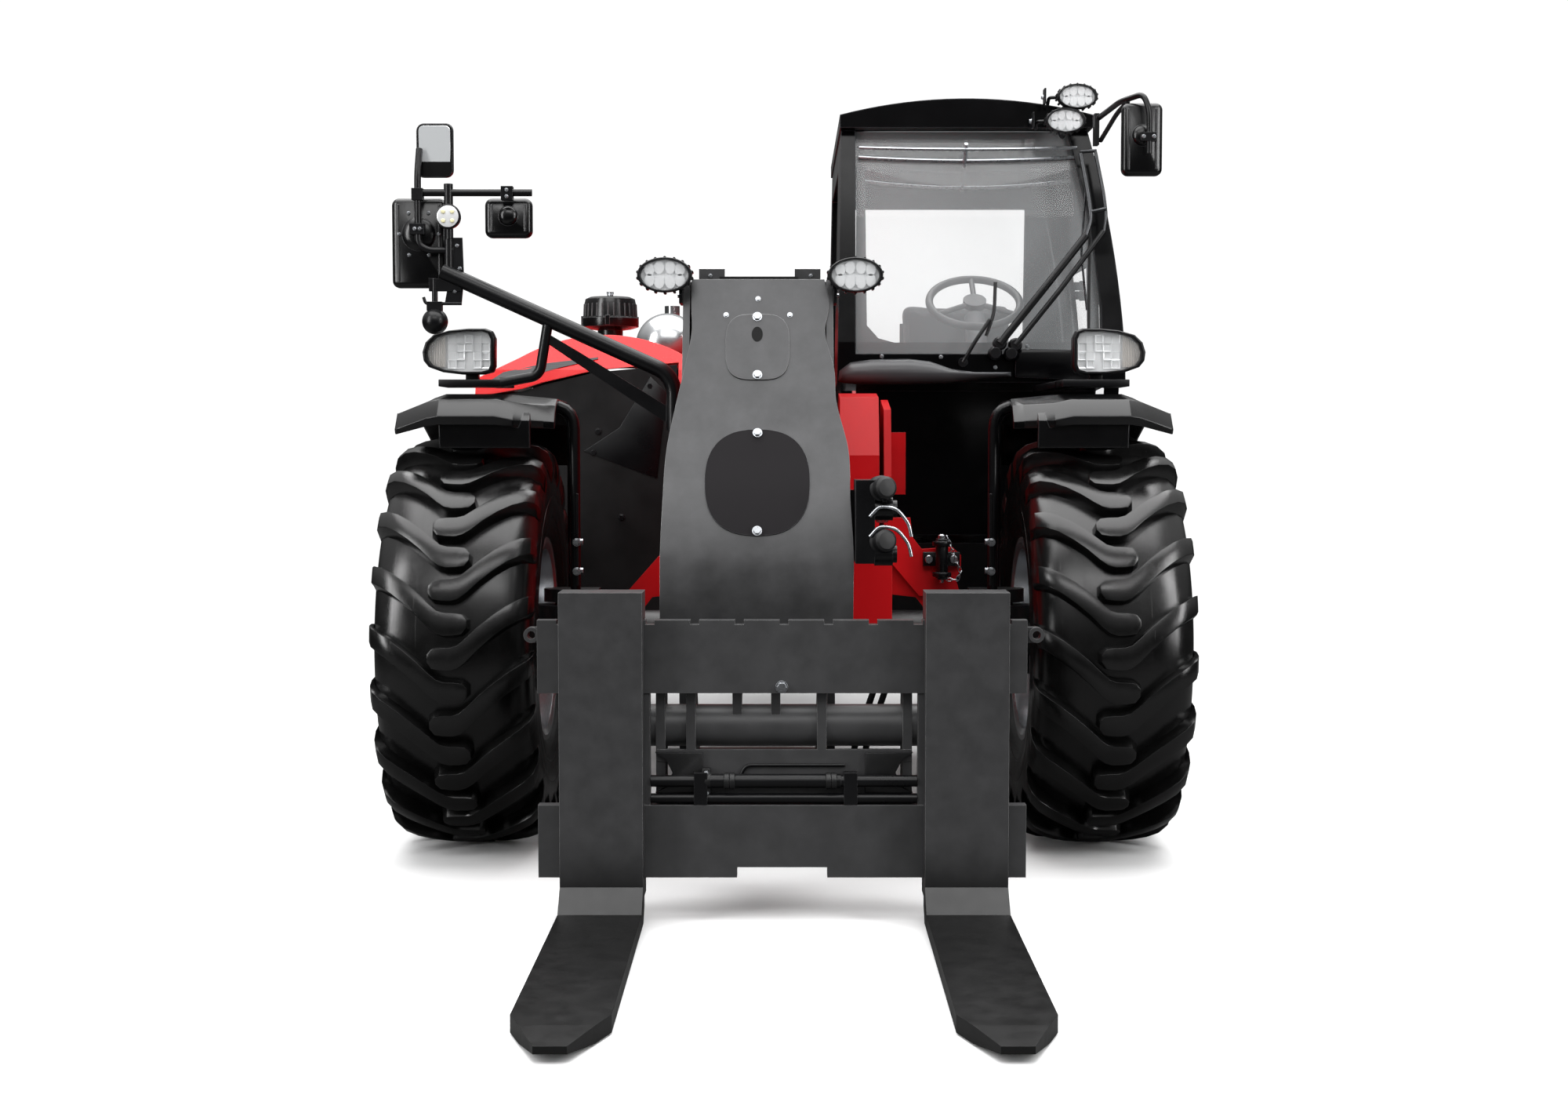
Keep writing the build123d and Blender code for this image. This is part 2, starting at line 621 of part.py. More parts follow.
def carriage_frame():
    front, back = carriage_front, carriage_front + carriage_plate
    top = block(carriage_right, carriage_left, front, back, *upper_plate)
    for i in range(-5, 6):
        x = i * notch_pitch
        top -= block(x - 12, x + 12, front - 1, back + 1, upper_plate[1] - 12, 900)
    low = block(carriage_right, carriage_left, front, back, *lower_plate)
    low -= block(-127, 117, front - 1, back + 1, 0, lower_plate[0] + 28)
    shape = top + low
    for x in (-371, 371):
        shape += block(x - 10, x + 10, front + 5, back, lower_plate[0] + 60, upper_plate[1] - 60)
    rib = [(back, 160), (back, 760), (back + 40, 740), (back + 40, 690), (back + 120, 600), (back + 120, 250),
           (back + 40, 160)]
    for x in (-335, 335):
        shape += side_cut(rib, x - 12.5, x + 12.5)
    shape += across(-580, 580, cross_tube_y, cross_tube_z, cross_tube_radius)
    hitch = [(-345, 320), (-345, 350), (-250, 362), (-250, 420), (-345, 432), (-345, 462),
             (345, 462), (345, 432), (250, 420), (250, 362), (345, 350), (345, 320)]
    shape += front_cut(hitch, back - 4, back + 14)
    pivot_lug = [(back - 4, 168), (back - 4, 680), (back + 70, 680), (tilt_y + 30, tilt_z + 48),
                 (tilt_y, tilt_z - 55), (tilt_y - 90, tilt_z - 100), (back + 70, 168)]
    for x in (-190, 165):
        lug = plate_to_pin(pivot_lug, tilt_y, tilt_z, 55, boom_x + x, boom_x + x + 25)
        bore = across(boom_x + x - 1, boom_x + x + 26, tilt_y, tilt_z, tilt_pin_radius + pin_gap)
        shape += lug - bore
    rod_lug = [(back - 4, 630), (back - 4, 700), (-1060, 700), (rod_pin_y - 10, rod_pin_z + 44),
               (rod_pin_y + 20, rod_pin_z - 38), (-1060, 560), (-1060, 530), (-1080, 530)]
    for x in (-65, 40):
        lug = plate_to_pin(rod_lug, rod_pin_y, rod_pin_z, 46, boom_x + x, boom_x + x + 25)
        cap = (-12, 0) if x < 0 else (25, 37)
        lug += across(boom_x + x + cap[0], boom_x + x + cap[1], rod_pin_y, rod_pin_z, 28)
        shape += lug
    for x in (-680, 680):
        ear = block(*sorted((x, x - math.copysign(30, x))), front + 14, back - 6, 755, 797)
        ear += bar((x, front + 8, 776), (x, back - 2, 776), 21)
        shape += ear - bar((x, front, 776), (x, back, 776), 11)
    return shape


def fork_positioner():
    """Cylinder between the two plates with a chrome rod each way, and a guide rod under it."""
    y = carriage_front + 15
    shape = across(-200, 154, y, 380, 19) + across(-360, 360, y, 380, 16) + across(-360, 360, y, 333, 13)
    for x in (-225, 180):
        shape += block(x - 18, x + 18, y - 16, y + 19, lower_plate[1] + 1, 404)
    return shape


def hydraulic_block():
    return block(162, 270, -1032, -992, 262, 338)


def carriage_hoses():
    """Two hoses held on the carriage, from the block up behind the left end of the cross tube."""
    hoses = []
    for x in (182, 214):
        points = [(x, -1012, 338.5), (x, -1012, 390), (x + 18, -966, 470), (x + 60, -962, 580),
                  (x + 92, -985, 690)]
        hoses.append(tube(points, 9, 38))
    return solids_of(*hoses)


def tine():
    """Left fork: blade, shank and the two hooks that slide on the carriage."""
    x0, x1 = tine_inner_left, tine_inner_left + tine_width
    back = carriage_front - slide_gap
    heel = 60
    plate_back = carriage_front + carriage_plate + slide_gap
    top_low, low_high = upper_plate[1] + slide_gap, lower_plate[0] - slide_gap
    blade_top = tine_bottom + tine_thickness
    side = [(-front_reach, 22), (-front_reach, blade_top - 6), (-2260, blade_top),
            (tine_front - heel, blade_top),
            (tine_front, blade_top + heel), (tine_front, tine_top),
            (plate_back + 15, tine_top), (plate_back + 15, 780), (plate_back, 780), (plate_back, top_low),
            (back, top_low), (back, low_high), (plate_back, low_high), (plate_back, low_high + 36),
            (plate_back + 15, low_high + 36), (plate_back + 15, low_high - 44), (back, low_high - 44),
            (back, tine_bottom + 40), (tine_front + 15, tine_bottom), (-2260, tine_bottom)]
    middle = (x0 + x1) / 2
    plan = [(x0, 0), (x1, 0), (x1, -2180), (middle + 36, -front_reach), (middle - 36, -front_reach),
            (x0, -2180)]
    return side_cut(side, x0, x1) & plan_cut(plan, -10, 1000)


def carriage_parts():
    save("carriage_frame", carriage_frame())
    save("fork_positioner", solids_of(fork_positioner(), hydraulic_block()))
    save("carriage_hoses", carriage_hoses())
    save("left_fork", tine())
    save("right_fork", mirrored(tine()))


# ---- cab ----------------------------------------------------------------------------------
def cab_front_outline(inset):
    """Outline seen from the front: upright inner wall, leaning and rounded outer wall."""
    inner, outer = cab_inner + inset, cab_outer - inset
    low, high = cab_floor + inset, cab_top - inset
    edges = [
        Line((inner, 0, low), (outer - 30, 0, low)),
        Line((outer - 30, 0, low), (outer, 0, cab_sill)),
        ThreePointArc((outer, 0, cab_sill), (outer - 34, 0, 1930), (outer - 125, 0, high)),
        Line((outer - 125, 0, high), (inner + 25, 0, high)),
        Line((inner + 25, 0, high), (inner, 0, low)),
    ]
    return edges


def cab_body(inset):
    face = make_face(cab_front_outline(inset))
    body = extrude(face, amount=cab_rear + 100, dir=(0, 1, 0))
    low_front = cab_step_back + inset
    side = [(low_front, cab_floor), (low_front, cab_sill + inset), (cab_front + inset, cab_sill + 20 + inset),
            (cab_front + inset, 1640), (cab_front + 110 + inset, cab_top), (cab_rear - 60 - inset, cab_top),
            (cab_rear - inset, 1700), (cab_rear - inset, cab_floor)]
    return body & side_cut(side, 0, 1400)


def door_zone(gap):
    return block(cab_outer - 220, cab_outer + 60, door_front - gap, door_rear + gap, cab_floor + 22 - gap,
                 cab_top - 62 + gap) & outer_skin_zone()


def outer_skin_zone():
    """The outer wall's own thickness, following its lean and its curve."""
    return Pos(0, -50, 0) * cab_tall(0) - Pos(0, -50, 0) * cab_tall(cab_wall)


def cab_tall(inset):
    face = make_face(cab_front_outline(0))
    solid = extrude(face, amount=cab_rear + 200, dir=(0, 1, 0))
    return Pos(-inset, 0, 0) * solid


def window_openings():
    """Windscreen, inner side window and rear window."""
    front = block(cab_inner + 75, cab_outer - 85, cab_front - 50, cab_front + 190, 1600, cab_top + 10)
    front &= Pos(-70, 0, 0) * cab_tall(0)
    inner = block(cab_inner - 30, cab_inner + 90, cab_step_back, cab_rear - 140, 1420, cab_top - 110)
    rear = block(cab_inner + 110, cab_outer - 190, cab_rear - 140, cab_rear + 30, 1450, cab_top - 130)
    return front, inner, rear


def cab_frame():
    shell = cab_body(0) - cab_body(cab_wall)
    for opening in window_openings():
        shell -= opening
    shell -= block(cab_inner + 110, cab_outer - 230, cab_front + 190, cab_rear - 190,
                   cab_top - 60, cab_top + 5)
    shell -= door_zone(door_gap)
    rear_quarter = block(cab_outer - 220, cab_outer + 60, door_rear + 70, cab_rear - 80, 1500, cab_top - 130)
    return shell - rear_quarter + door_knuckles(40, 1)


def door_knuckles(lift, side):
    """Hinge knuckles outside the door's rear edge, on arms to the door (side -1) or the frame (side 1)."""
    arms = None
    for z in (1120 + lift, 1860 + lift):
        arm = bar((hinge_x, hinge_y, z), (hinge_x, hinge_y, z + 38), hinge_radius)
        arm += block(1130, hinge_x, *sorted((hinge_y, hinge_y + side * 50)), z + 4, z + 34)
        arms = arm if arms is None else arms + arm
    gap_zone = block(0, 1400, door_rear, door_rear + door_gap + 8, cab_floor, cab_top)
    return arms - (Pos(-20, 0, 0) * cab_tall(0)) - (gap_zone & cab_tall(0))


def door_window(inset):
    return block(cab_outer - 260, cab_outer + 60, door_front + 55 + inset, door_rear - 55 - inset,
                 cab_floor + 330 + inset, cab_top - 120 - inset)


def cab_door():
    panel_zone = door_zone(0)
    return panel_zone - door_window(0) + door_knuckles(0, -1)


def door_glass():
    skin = Pos(-18, 0, 0) * cab_tall(0) - Pos(-18, 0, 0) * cab_tall(glass_thickness)
    return door_window(1) & skin


def cab_glass():
    """Windscreen, inner side, rear and rear quarter panes and the roof pane."""
    front, inner, rear = window_openings()
    slant = (Pos(0, 20, 0) * cab_body(0)) - (Pos(0, 20 + glass_thickness, 0) * cab_body(0))
    screen = (front & slant & block(0, 1400, cab_front, cab_front + 185, 1601, cab_top - 1))
    side = inner & (Pos(20, 0, 0) * cab_tall(0) - Pos(20 + glass_thickness, 0, 0) * cab_tall(0))
    back = block(cab_inner + 111, cab_outer - 191, cab_rear - 200, cab_rear, 1451, cab_top - 131)
    back &= (Pos(0, -20, 0) * cab_body(0)) - (Pos(0, -20 - glass_thickness, 0) * cab_body(0))
    quarter = block(cab_outer - 220, cab_outer, door_rear + 71, cab_rear - 81, 1501, cab_top - 131)
    quarter &= Pos(-18, 0, 0) * cab_tall(0) - Pos(-18 - glass_thickness, 0, 0) * cab_tall(0)
    roof = block(cab_inner + 111, cab_outer - 231, cab_front + 191, cab_rear - 191,
                 cab_top - 30, cab_top - 24)
    return solids_of(screen, side, back, quarter, roof)


def cab_roof():
    """Roof frame round the roof pane: crowned, open in the middle."""
    front, rear = cab_front + 60, cab_rear - 40
    low = cab_top + 2
    inner, outer = cab_inner + 20, cab_outer - 112
    edges = [
        Line((inner, front, low), (outer, front, low)),
        Line((outer, front, low), (outer, front, roof_top - roof_crown)),
        ThreePointArc((outer, front, roof_top - roof_crown), ((inner + outer) / 2, front, roof_top),
                      (inner, front, roof_top - roof_crown)),
        Line((inner, front, roof_top - roof_crown), (inner, front, low)),
    ]
    roof = extrude(make_face(edges), amount=rear - front, dir=(0, 1, 0))
    return roof - block(inner + 100, outer - 120, front + 150, rear - 190, low - 5, roof_top + 20)


seat_x = 690
seat_y = 1440


def operator_seat():
    base = block(seat_x - 190, seat_x + 190, seat_y - 190, seat_y + 200,
                 cab_floor + cab_wall, cab_floor + 300)
    pan = block(seat_x - 235, seat_x + 235, seat_y - 250, seat_y + 240, cab_floor + 300, cab_floor + 350)
    back = block(seat_x - 220, seat_x + 220, seat_y + 215, seat_y + 245, cab_floor + 330, cab_floor + 820)
    rest = block(seat_x - 330, seat_x - 262, seat_y - 240, seat_y + 120, cab_floor + 480, cab_floor + 540)
    rest += block(seat_x - 330, seat_x - 242, seat_y + 60, seat_y + 120, cab_floor + 320, cab_floor + 500)
    return base + pan + back + rest


def seat_cushions():
    cushion = block(seat_x - 240, seat_x + 240, seat_y - 260, seat_y + 190, cab_floor + 351, cab_floor + 460)
    back = block(seat_x - 230, seat_x + 230, seat_y + 105, seat_y + 214, cab_floor + 470, cab_floor + 900)
    cushion = fillet(cushion.edges().filter_by(Axis.Z), 60)
    back = fillet(back.edges().filter_by(Axis.Y), 60)
    return solids_of(cushion, back)


wheel_centre = (695, 850, 1800)
column_tilt = 35
wheel_ring_radius = 165


def dashboard():
    """Front console under the windscreen, and the column that carries the steering wheel."""
    shelf = cab_sill + 20 + cab_wall
    nose = cab_front + cab_wall + 15
    console = side_cut([(nose, shelf + 15), (nose, shelf + 60), (760, shelf + 95), (800, shelf + 45),
                        (760, shelf + 3)], cab_inner + cab_wall + 15, cab_outer - cab_wall - 25)
    foot = Vector(wheel_centre[0], wheel_centre[1] + 10, wheel_centre[2] - 20)
    column = bar((wheel_centre[0], 700, 1560), foot + Vector(0, -20, -35), 38)
    side = block(cab_inner + cab_wall + 15, cab_inner + 180, 1150, 1650,
                 cab_floor + cab_wall, cab_floor + 480)
    return solids_of(console + column, side)


def steering_wheel():
    place = Pos(*wheel_centre) * Rot(column_tilt, 0, 0)
    ring = Torus(wheel_ring_radius, 14)
    hub = Cylinder(42, 24)
    for angle in (90, 210, 330):
        a = math.radians(angle)
        spoke = bar((0, 0, 0), (wheel_ring_radius * math.cos(a), wheel_ring_radius * math.sin(a), 0), 10)
        hub += spoke
    return place * (ring + hub)


def lamps_on_cab():
    lights = []
    for x, z in ((1008, 2478), (968, 2396)):
        lights.append(oval_lamp(x, 450, z, 71, 44, 55))
    bracket = block(900, 930, 470, 500, 2400, 2490)
    return solids_of(lights[0] + block(925, 960, 480, 490, 2460, 2490), lights[1] + bracket)


def left_mirror():
    """Mirror outside the left front pillar on a bent tube."""
    arm = tube([(1075, 590, 2330), (1120, 100, 2395), (1176, 60, 2405), (1176, 60, 2290)], 11, 30)
    head = block(1095, 1229, 64, 96, 2157, 2391)
    head = fillet(head.edges().filter_by(Axis.Y), 22)
    return arm + head


def cab_parts():
    save("cab_frame", cab_frame())
    save("cab_roof", cab_roof())
    save("cab_glass", cab_glass())
    save("cab_door", cab_door())
    save("door_glass", door_glass())
    save("operator_seat", operator_seat())
    save("seat_cushions", seat_cushions())
    save("dashboard", dashboard())
    save("steering_wheel", steering_wheel())
    save("cab_work_lights", lamps_on_cab())


def fuel_tank():
    """Tank under the cab, with the two steps cut into its outer side."""
    tank = block(360, 1120, cab_step_back + 30, cab_rear - 40, 500, cab_floor - 30)
    tank = fillet(tank.edges().filter_by(Axis.Y), 40)
    return tank - block(960, 1130, 1080, 1560, 720, cab_floor)


def cab_steps():
    steps = block(975, 1150, 1100, 1540, 500 - 70, 500 - 45)
    for y in (1100, 1520):
        steps += block(975, 1000, y, y + 20, 500 - 70, 498)
        steps += block(1125, 1150, y, y + 20, 500 - 70, 498)
    upper = block(965, 1150, 1100, 1540, 722, 745)
    return solids_of(steps, upper)


# ---- engine bay, hood and exhaust ---------------------------------------------------------
# (x, z) of the brow's lower edge, from the machine's right to the boom
hood_brow = [(-1100, 1465), (-965, 1488), (-893, 1511), (-693, 1558), (-390, 1586)]


def hood_outline(inset):
    """Outline of the hood seen from the front."""
    left, right = hood_left - inset, hood_right + inset
    drop = inset
    return [
        Line((left, 0, hood_bottom - (10 if inset else 0)), (left, 0, 1608 - drop)),
        ThreePointArc((left, 0, 1608 - drop), (-560, 0, hood_crown - drop), (-981, 0, 1605 - drop)),
        Line((-981, 0, 1605 - drop), (right, 0, 1525 - drop)),
        Line((right, 0, 1525 - drop), (right - 10 + inset / 10, 0, hood_bottom - (10 if inset else 0))),
        Line((right - 10 + inset / 10, 0, hood_bottom - (10 if inset else 0)),
             (left, 0, hood_bottom - (10 if inset else 0))),
    ]


def hood_body(inset, y0, y1):
    return extrude(Pos(0, y0, 0) * make_face(hood_outline(inset)), amount=y1 - y0, dir=(0, 1, 0))


def engine_hood():
    side = [(hood_front, 1450), (hood_front + 30, 1560), (hood_front + 150, 1700), (hood_rear, 1700),
            (hood_rear, hood_bottom - 20), (hood_front, hood_bottom - 20)]
    shell = hood_body(0, hood_front, hood_rear) & side_cut(side, -1300, 0)
    inside = [(hood_front + 30, 1440), (hood_front + 56, 1545), (hood_front + 165, 1700),
              (hood_rear + 20, 1700), (hood_rear + 20, hood_bottom - 20), (hood_front + 30, hood_bottom - 20)]
    shell -= hood_body(hood_wall, hood_front, hood_rear + 50) & side_cut(inside, -1300, 0)
    # the front is open below the arched brow, where the fixed black panel stands
    opening = [(-1100, hood_bottom - 20), *hood_brow, (-390, hood_bottom - 20)]
    shell -= front_cut(opening, hood_front - 10, hood_front + 70)
    for x in hood_hinges:
        shell += bar((x - 31, hood_rear, hood_axis_z), (x - 1, hood_rear, hood_axis_z), hinge_radius)
        shell += block(x - 31, x - 1, hood_rear - 40, hood_rear, 1600, hood_axis_z)
    return shell


def air_precleaner():
    """Pre-cleaner drum and its neck, standing on the crown of the hood."""
    x, y = -690, 1500
    base = Pos(x, y, 1705) * Cylinder(45, 96)
    drum = Pos(x, y, 1800) * Cylinder(114, 96)
    cap = Pos(x, y, 1858) * Cylinder(104, 22)
    return base + drum + cap - hood_body(0, y - 200, y + 200)


def engine_bay():
    """Fixed tray, lower sides and the black front panel that the hood closes on."""
    x0, x1 = hood_right + 40, hood_left
    y0, y1 = hood_front + 34, bay_rear
    bay = block(x0, x1, y0, y1, bay_bottom, bay_bottom + panel)
    bay += block(x0, x0 + panel, y0, y1, bay_bottom, hood_bottom - 30)
    bay += block(x1 - panel, x1, y0, y1, bay_bottom, hood_bottom - 30)
    bay += block(x0, x1, y1 - panel, y1, bay_bottom, hood_bottom - 30)
    bay += block(x0, x1, y0, y0 + panel, bay_bottom, hood_bottom - 30)
    left = x1 - hood_wall - door_gap
    top = [(max(x0, min(left, x)), z - door_gap) for x, z in hood_brow]
    bay += front_cut([(x0, hood_bottom - 30), *top, (left, hood_bottom - 30)], y0, y0 + panel)
    return bay


def engine_block():
    return block(-1010, -440, 1060, 1880, 560, 1360)


def rear_deck():
    """Fixed body behind the hood, over the right rear tyre, under the silencer."""
    y0, y1 = hood_rear + 10, hood_rear + 660
    low = 1462
    side = [(y0, low), (y0, 1590), (y1 - 120, 1560), (y1, 1510), (y1, low)]
    deck = side_cut(side, hood_right + 60, -frame_half - 5)
    for x in hood_hinges:
        post = [(hood_rear, hood_axis_z - hinge_radius), (hood_rear, hood_axis_z + hinge_radius),
                (hood_rear + 50, hood_axis_z + hinge_radius), (hood_rear + 50, low + 100),
                (hood_rear + 20, low + 100), (hood_rear + 20, hood_axis_z - hinge_radius)]
        deck += plate_to_pin(post, hood_rear, hood_axis_z, hinge_radius, x, x + 30)
    return deck


def exhaust_silencer():
    x = -505
    drum = bar((x, hood_rear + 40, 1690), (x, hood_rear + 540, 1690), 92)
    return drum + bar((x, hood_rear + 460, 1690), (x, hood_rear + 460, 1880), 34)


def engine_parts():
    save("engine_hood", engine_hood())
    save("air_precleaner", air_precleaner())
    save("engine_bay", solids_of(engine_bay(), rear_deck()))
    save("engine_block", engine_block())
    save("exhaust_silencer", exhaust_silencer())


# ---- lights and mirrors -------------------------------------------------------------------
lamp_shelf = fender_peak + 21   # underside of the shelf under each headlight


def headlights():
    lights = []
    for side in (-1, 1):
        housing = block(*sorted((side * 904, side * 1136)), -200, -80, lamp_shelf + 37, lamp_shelf + 183)
        housing = fillet(housing.edges().filter_by(Axis.Y), 28)
        shelf = block(*sorted((side * 872, side * 1081)), -215, -40, lamp_shelf, lamp_shelf + 22)
        post = block(*sorted((side * 960, side * 1010)), -140, -100, lamp_shelf + 13, lamp_shelf + 43)
        back = cab_front + 20 if side > 0 else 0
        stem = block(*sorted((side * 872, side * 930)), -50, back, lamp_shelf, lamp_shelf + 22)
        lights.append(housing + shelf + post + stem)
    return solids_of(*lights)


def rear_lights():
    lights = []
    for side in (-1, 1):
        lights.append(block(*sorted((side * 860, side * 990)), rear_reach - 70, rear_reach - 8, 1245, 1330))
    return solids_of(*lights)


mirror_arm_y = -250


def right_mirror_arm():
    """Tube frame that holds the right headlight and mirrors out over the wheel."""
    y = mirror_arm_y
    arm = tube([(-342, y, arm_foot), (-342, y, 1500), (-1060, y, 1822)], 25, 90)
    arm += tube([(-880, y, lamp_shelf + 11), (-760, y, lamp_shelf + 33), (-728, y, 1690)], 16, 40)
    arm += block(-1100, -1000, y - 8, y + 8, 1760, 1800)
    arm += bar((-1038, y, 1800), (-1038, y, 2090), 14) + bar((-1150, y, 2063), (-780, y, 2063), 11)
    arm += bar((-1083, y, 1700), (-1083, y, 1800), 9) + Pos(-1083, y, 1667) * Sphere(40)
    strut = [(-frame_half - 1, arm_foot), (-frame_half - 1, arm_foot + 55), (-640, 1575), (-730, 1628),
             (-742, 1604), (-655, 1545)]
    arm += front_cut(strut, y - 5, y + 5)
    return arm


def right_mirrors():
    y = mirror_arm_y
    heads = []
    for x0, x1, z0, z1 in ((-1221, -1050, 1773, 2050), (-931, -784, 1928, 2050),
                           (-1142, -1023, 2113, 2281)):
        head = block(x0, x1, y + 28, y + 60, z0, z1)
        heads.append(fillet(head.edges().filter_by(Axis.Y), 25))
    return solids_of(*heads)


def light_parts():
    save("headlights", headlights())
    save("rear_lights", rear_lights())
    save("right_mirror_arm", right_mirror_arm())
    save("mirrors", solids_of(left_mirror(), right_mirrors()))


def frame_parts():
    save("main_frame", main_frame() + front_walls() + towing_plate())
    save("rear_counterweight", counterweight())
    save("rear_tow_hitch", rear_hitch())
    save("fuel_tank", solids_of(fuel_tank(), cab_steps()))


os.makedirs("parts", exist_ok=True)
frame_parts()
running_gear()
boom_parts()
carriage_parts()
cab_parts()
engine_parts()
light_parts()
print(len(nodes), "nodes")
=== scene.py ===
import math

import bmesh
import bpy
from mathutils import Matrix, Vector


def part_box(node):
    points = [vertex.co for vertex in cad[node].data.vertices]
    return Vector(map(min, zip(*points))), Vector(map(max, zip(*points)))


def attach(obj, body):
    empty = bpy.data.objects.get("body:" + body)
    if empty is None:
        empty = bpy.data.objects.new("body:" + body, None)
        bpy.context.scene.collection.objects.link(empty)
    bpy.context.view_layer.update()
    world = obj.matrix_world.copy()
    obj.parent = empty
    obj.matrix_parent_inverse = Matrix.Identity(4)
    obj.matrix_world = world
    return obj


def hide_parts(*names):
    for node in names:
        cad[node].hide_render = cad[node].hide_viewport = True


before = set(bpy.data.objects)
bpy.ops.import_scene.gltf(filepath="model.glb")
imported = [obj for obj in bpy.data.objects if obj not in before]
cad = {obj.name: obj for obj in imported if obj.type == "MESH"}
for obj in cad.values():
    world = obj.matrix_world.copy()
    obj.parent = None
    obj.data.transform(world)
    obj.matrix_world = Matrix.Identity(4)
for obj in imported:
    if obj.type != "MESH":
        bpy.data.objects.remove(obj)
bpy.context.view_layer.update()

# ---- Studio ---------------------------------------------------------------------------------
# A pale seamless floor in a white room. One large soft box hangs over the machine and two tall
# ones stand beside it, so that dark satin metal and rubber get long soft edges of light.
scene = bpy.context.scene
scene.view_settings.view_transform = "Standard"


def linear(colour):
    """Linear RGBA of an sRGB hex colour."""
    parts = [int(colour[i:i + 2], 16) / 255 for i in (1, 3, 5)]
    return [c / 12.92 if c <= 0.04045 else ((c + 0.055) / 1.055) ** 2.4 for c in parts] + [1.0]


def add(tree, kind, inputs=None, **settings):
    """Adds a node. Each input is a constant, or an output socket to link from."""
    node = tree.nodes.new(kind)
    for name, value in settings.items():
        setattr(node, name, value)
    for name, value in (inputs or {}).items():
        if isinstance(value, bpy.types.NodeSocket):
            tree.links.new(value, node.inputs[name])
        else:
            node.inputs[name].default_value = value
    return node


def new_material(name):
    """An empty material with its output, and the shader that feeds it."""
    material = bpy.data.materials.new(name)
    material.use_nodes = True
    tree = material.node_tree
    tree.nodes.clear()
    shader = add(tree, "ShaderNodeBsdfPrincipled")
    add(tree, "ShaderNodeOutputMaterial", {"Surface": shader.outputs["BSDF"]})
    return material, tree, shader


world = bpy.data.worlds.new("white_room")
scene.world = world
world.use_nodes = True
tree = world.node_tree
tree.nodes.clear()
height = add(tree, "ShaderNodeSeparateXYZ", {0: add(tree, "ShaderNodeTexCoord").outputs["Generated"]})
walls = add(tree, "ShaderNodeMapRange", {0: height.outputs["Z"], 1: 0.05, 2: 0.8, 3: 0.035, 4: 0.95})
room = add(tree, "ShaderNodeBackground", {"Color": (1, 1, 1, 1), "Strength": walls.outputs[0]})
backdrop = add(tree, "ShaderNodeBackground", {"Color": (1, 1, 1, 1), "Strength": 1.05})
seen = add(tree, "ShaderNodeMixShader", {0: add(tree, "ShaderNodeLightPath").outputs["Is Camera Ray"],
                                         1: room.outputs[0], 2: backdrop.outputs[0]})
add(tree, "ShaderNodeOutputWorld", {"Surface": seen.outputs[0]})

floor_mesh = bpy.data.meshes.new("studio_floor")
floor_mesh.from_pydata([(-60, -60, 0), (60, -60, 0), (60, 60, 0), (-60, 60, 0)], [], [(0, 1, 2, 3)])
floor = bpy.data.objects.new("studio_floor", floor_mesh)
scene.collection.objects.link(floor)
floor_paint, tree, shader = new_material("studio_floor_paint")
# matt white vinyl: all but white, and dull enough to show only soft contact shadows. The machine
# itself is lit by a much darker floor than the one that is seen, so its undersides stay deep.
seen_directly = add(tree, "ShaderNodeLightPath").outputs["Is Camera Ray"]
vinyl = add(tree, "ShaderNodeMix", {0: seen_directly, 6: (0.10, 0.10, 0.10, 1), 7: (0.93, 0.93, 0.93, 1)},
            data_type="RGBA")
tree.links.new(vinyl.outputs[2], shader.inputs["Base Color"])
shader.inputs["Roughness"].default_value = 0.75
shader.inputs["Specular IOR Level"].default_value = 0.1
# the sheet runs out into the white backdrop between 3.5 m and 7 m from the machine
reach = add(tree, "ShaderNodeVectorMath", {0: add(tree, "ShaderNodeTexCoord").outputs["Object"]},
            operation="LENGTH")
fade = add(tree, "ShaderNodeMapRange", {0: reach.outputs["Value"], 1: 3.5, 2: 7.0, 3: 1.0, 4: 0.0},
           interpolation_type="SMOOTHSTEP")
tree.links.new(fade.outputs[0], shader.inputs["Alpha"])
floor_mesh.materials.append(floor_paint)

for name, place, aim, size, watts in (
        ("top_box", (0.0, 0.3, 7.0), (0, 0.3, 0), (9.0, 9.0), 900),
        ("left_strip", (-5.0, -4.5, 3.0), (-0.8, -0.8, 0.8), (1.2, 4.5), 190),
        ("right_strip", (5.0, -4.5, 3.0), (0.8, -0.8, 0.8), (1.2, 4.5), 190),
        ("front_box", (0.0, -8.0, 6.5), (0, 0, 1.0), (6.0, 2.0), 150)):
    light = bpy.data.lights.new(name, "AREA")
    light.shape, light.size, light.size_y, light.energy = "RECTANGLE", size[0], size[1], watts
    lamp = bpy.data.objects.new(name, light)
    lamp.location = place
    lamp.rotation_euler = (Vector(aim) - Vector(place)).to_track_quat("-Z", "Y").to_euler()
    scene.collection.objects.link(lamp)

camera = bpy.data.cameras.new("camera")
camera.lens = 46
viewer = bpy.data.objects.new("camera", camera)
viewer.location = (0, -7.23, 1.30)
viewer.rotation_euler = (math.radians(90 - 3.27), 0, 0)
scene.collection.objects.link(viewer)
scene.camera = viewer

# ---- Frame, walls and counterweight ----------------------------------------------------------
# The chassis is two steel plates with cross members and the raised walls beside the boom, welded
# up, blasted and painted red. The counterweight is one grey casting bolted round its tail.


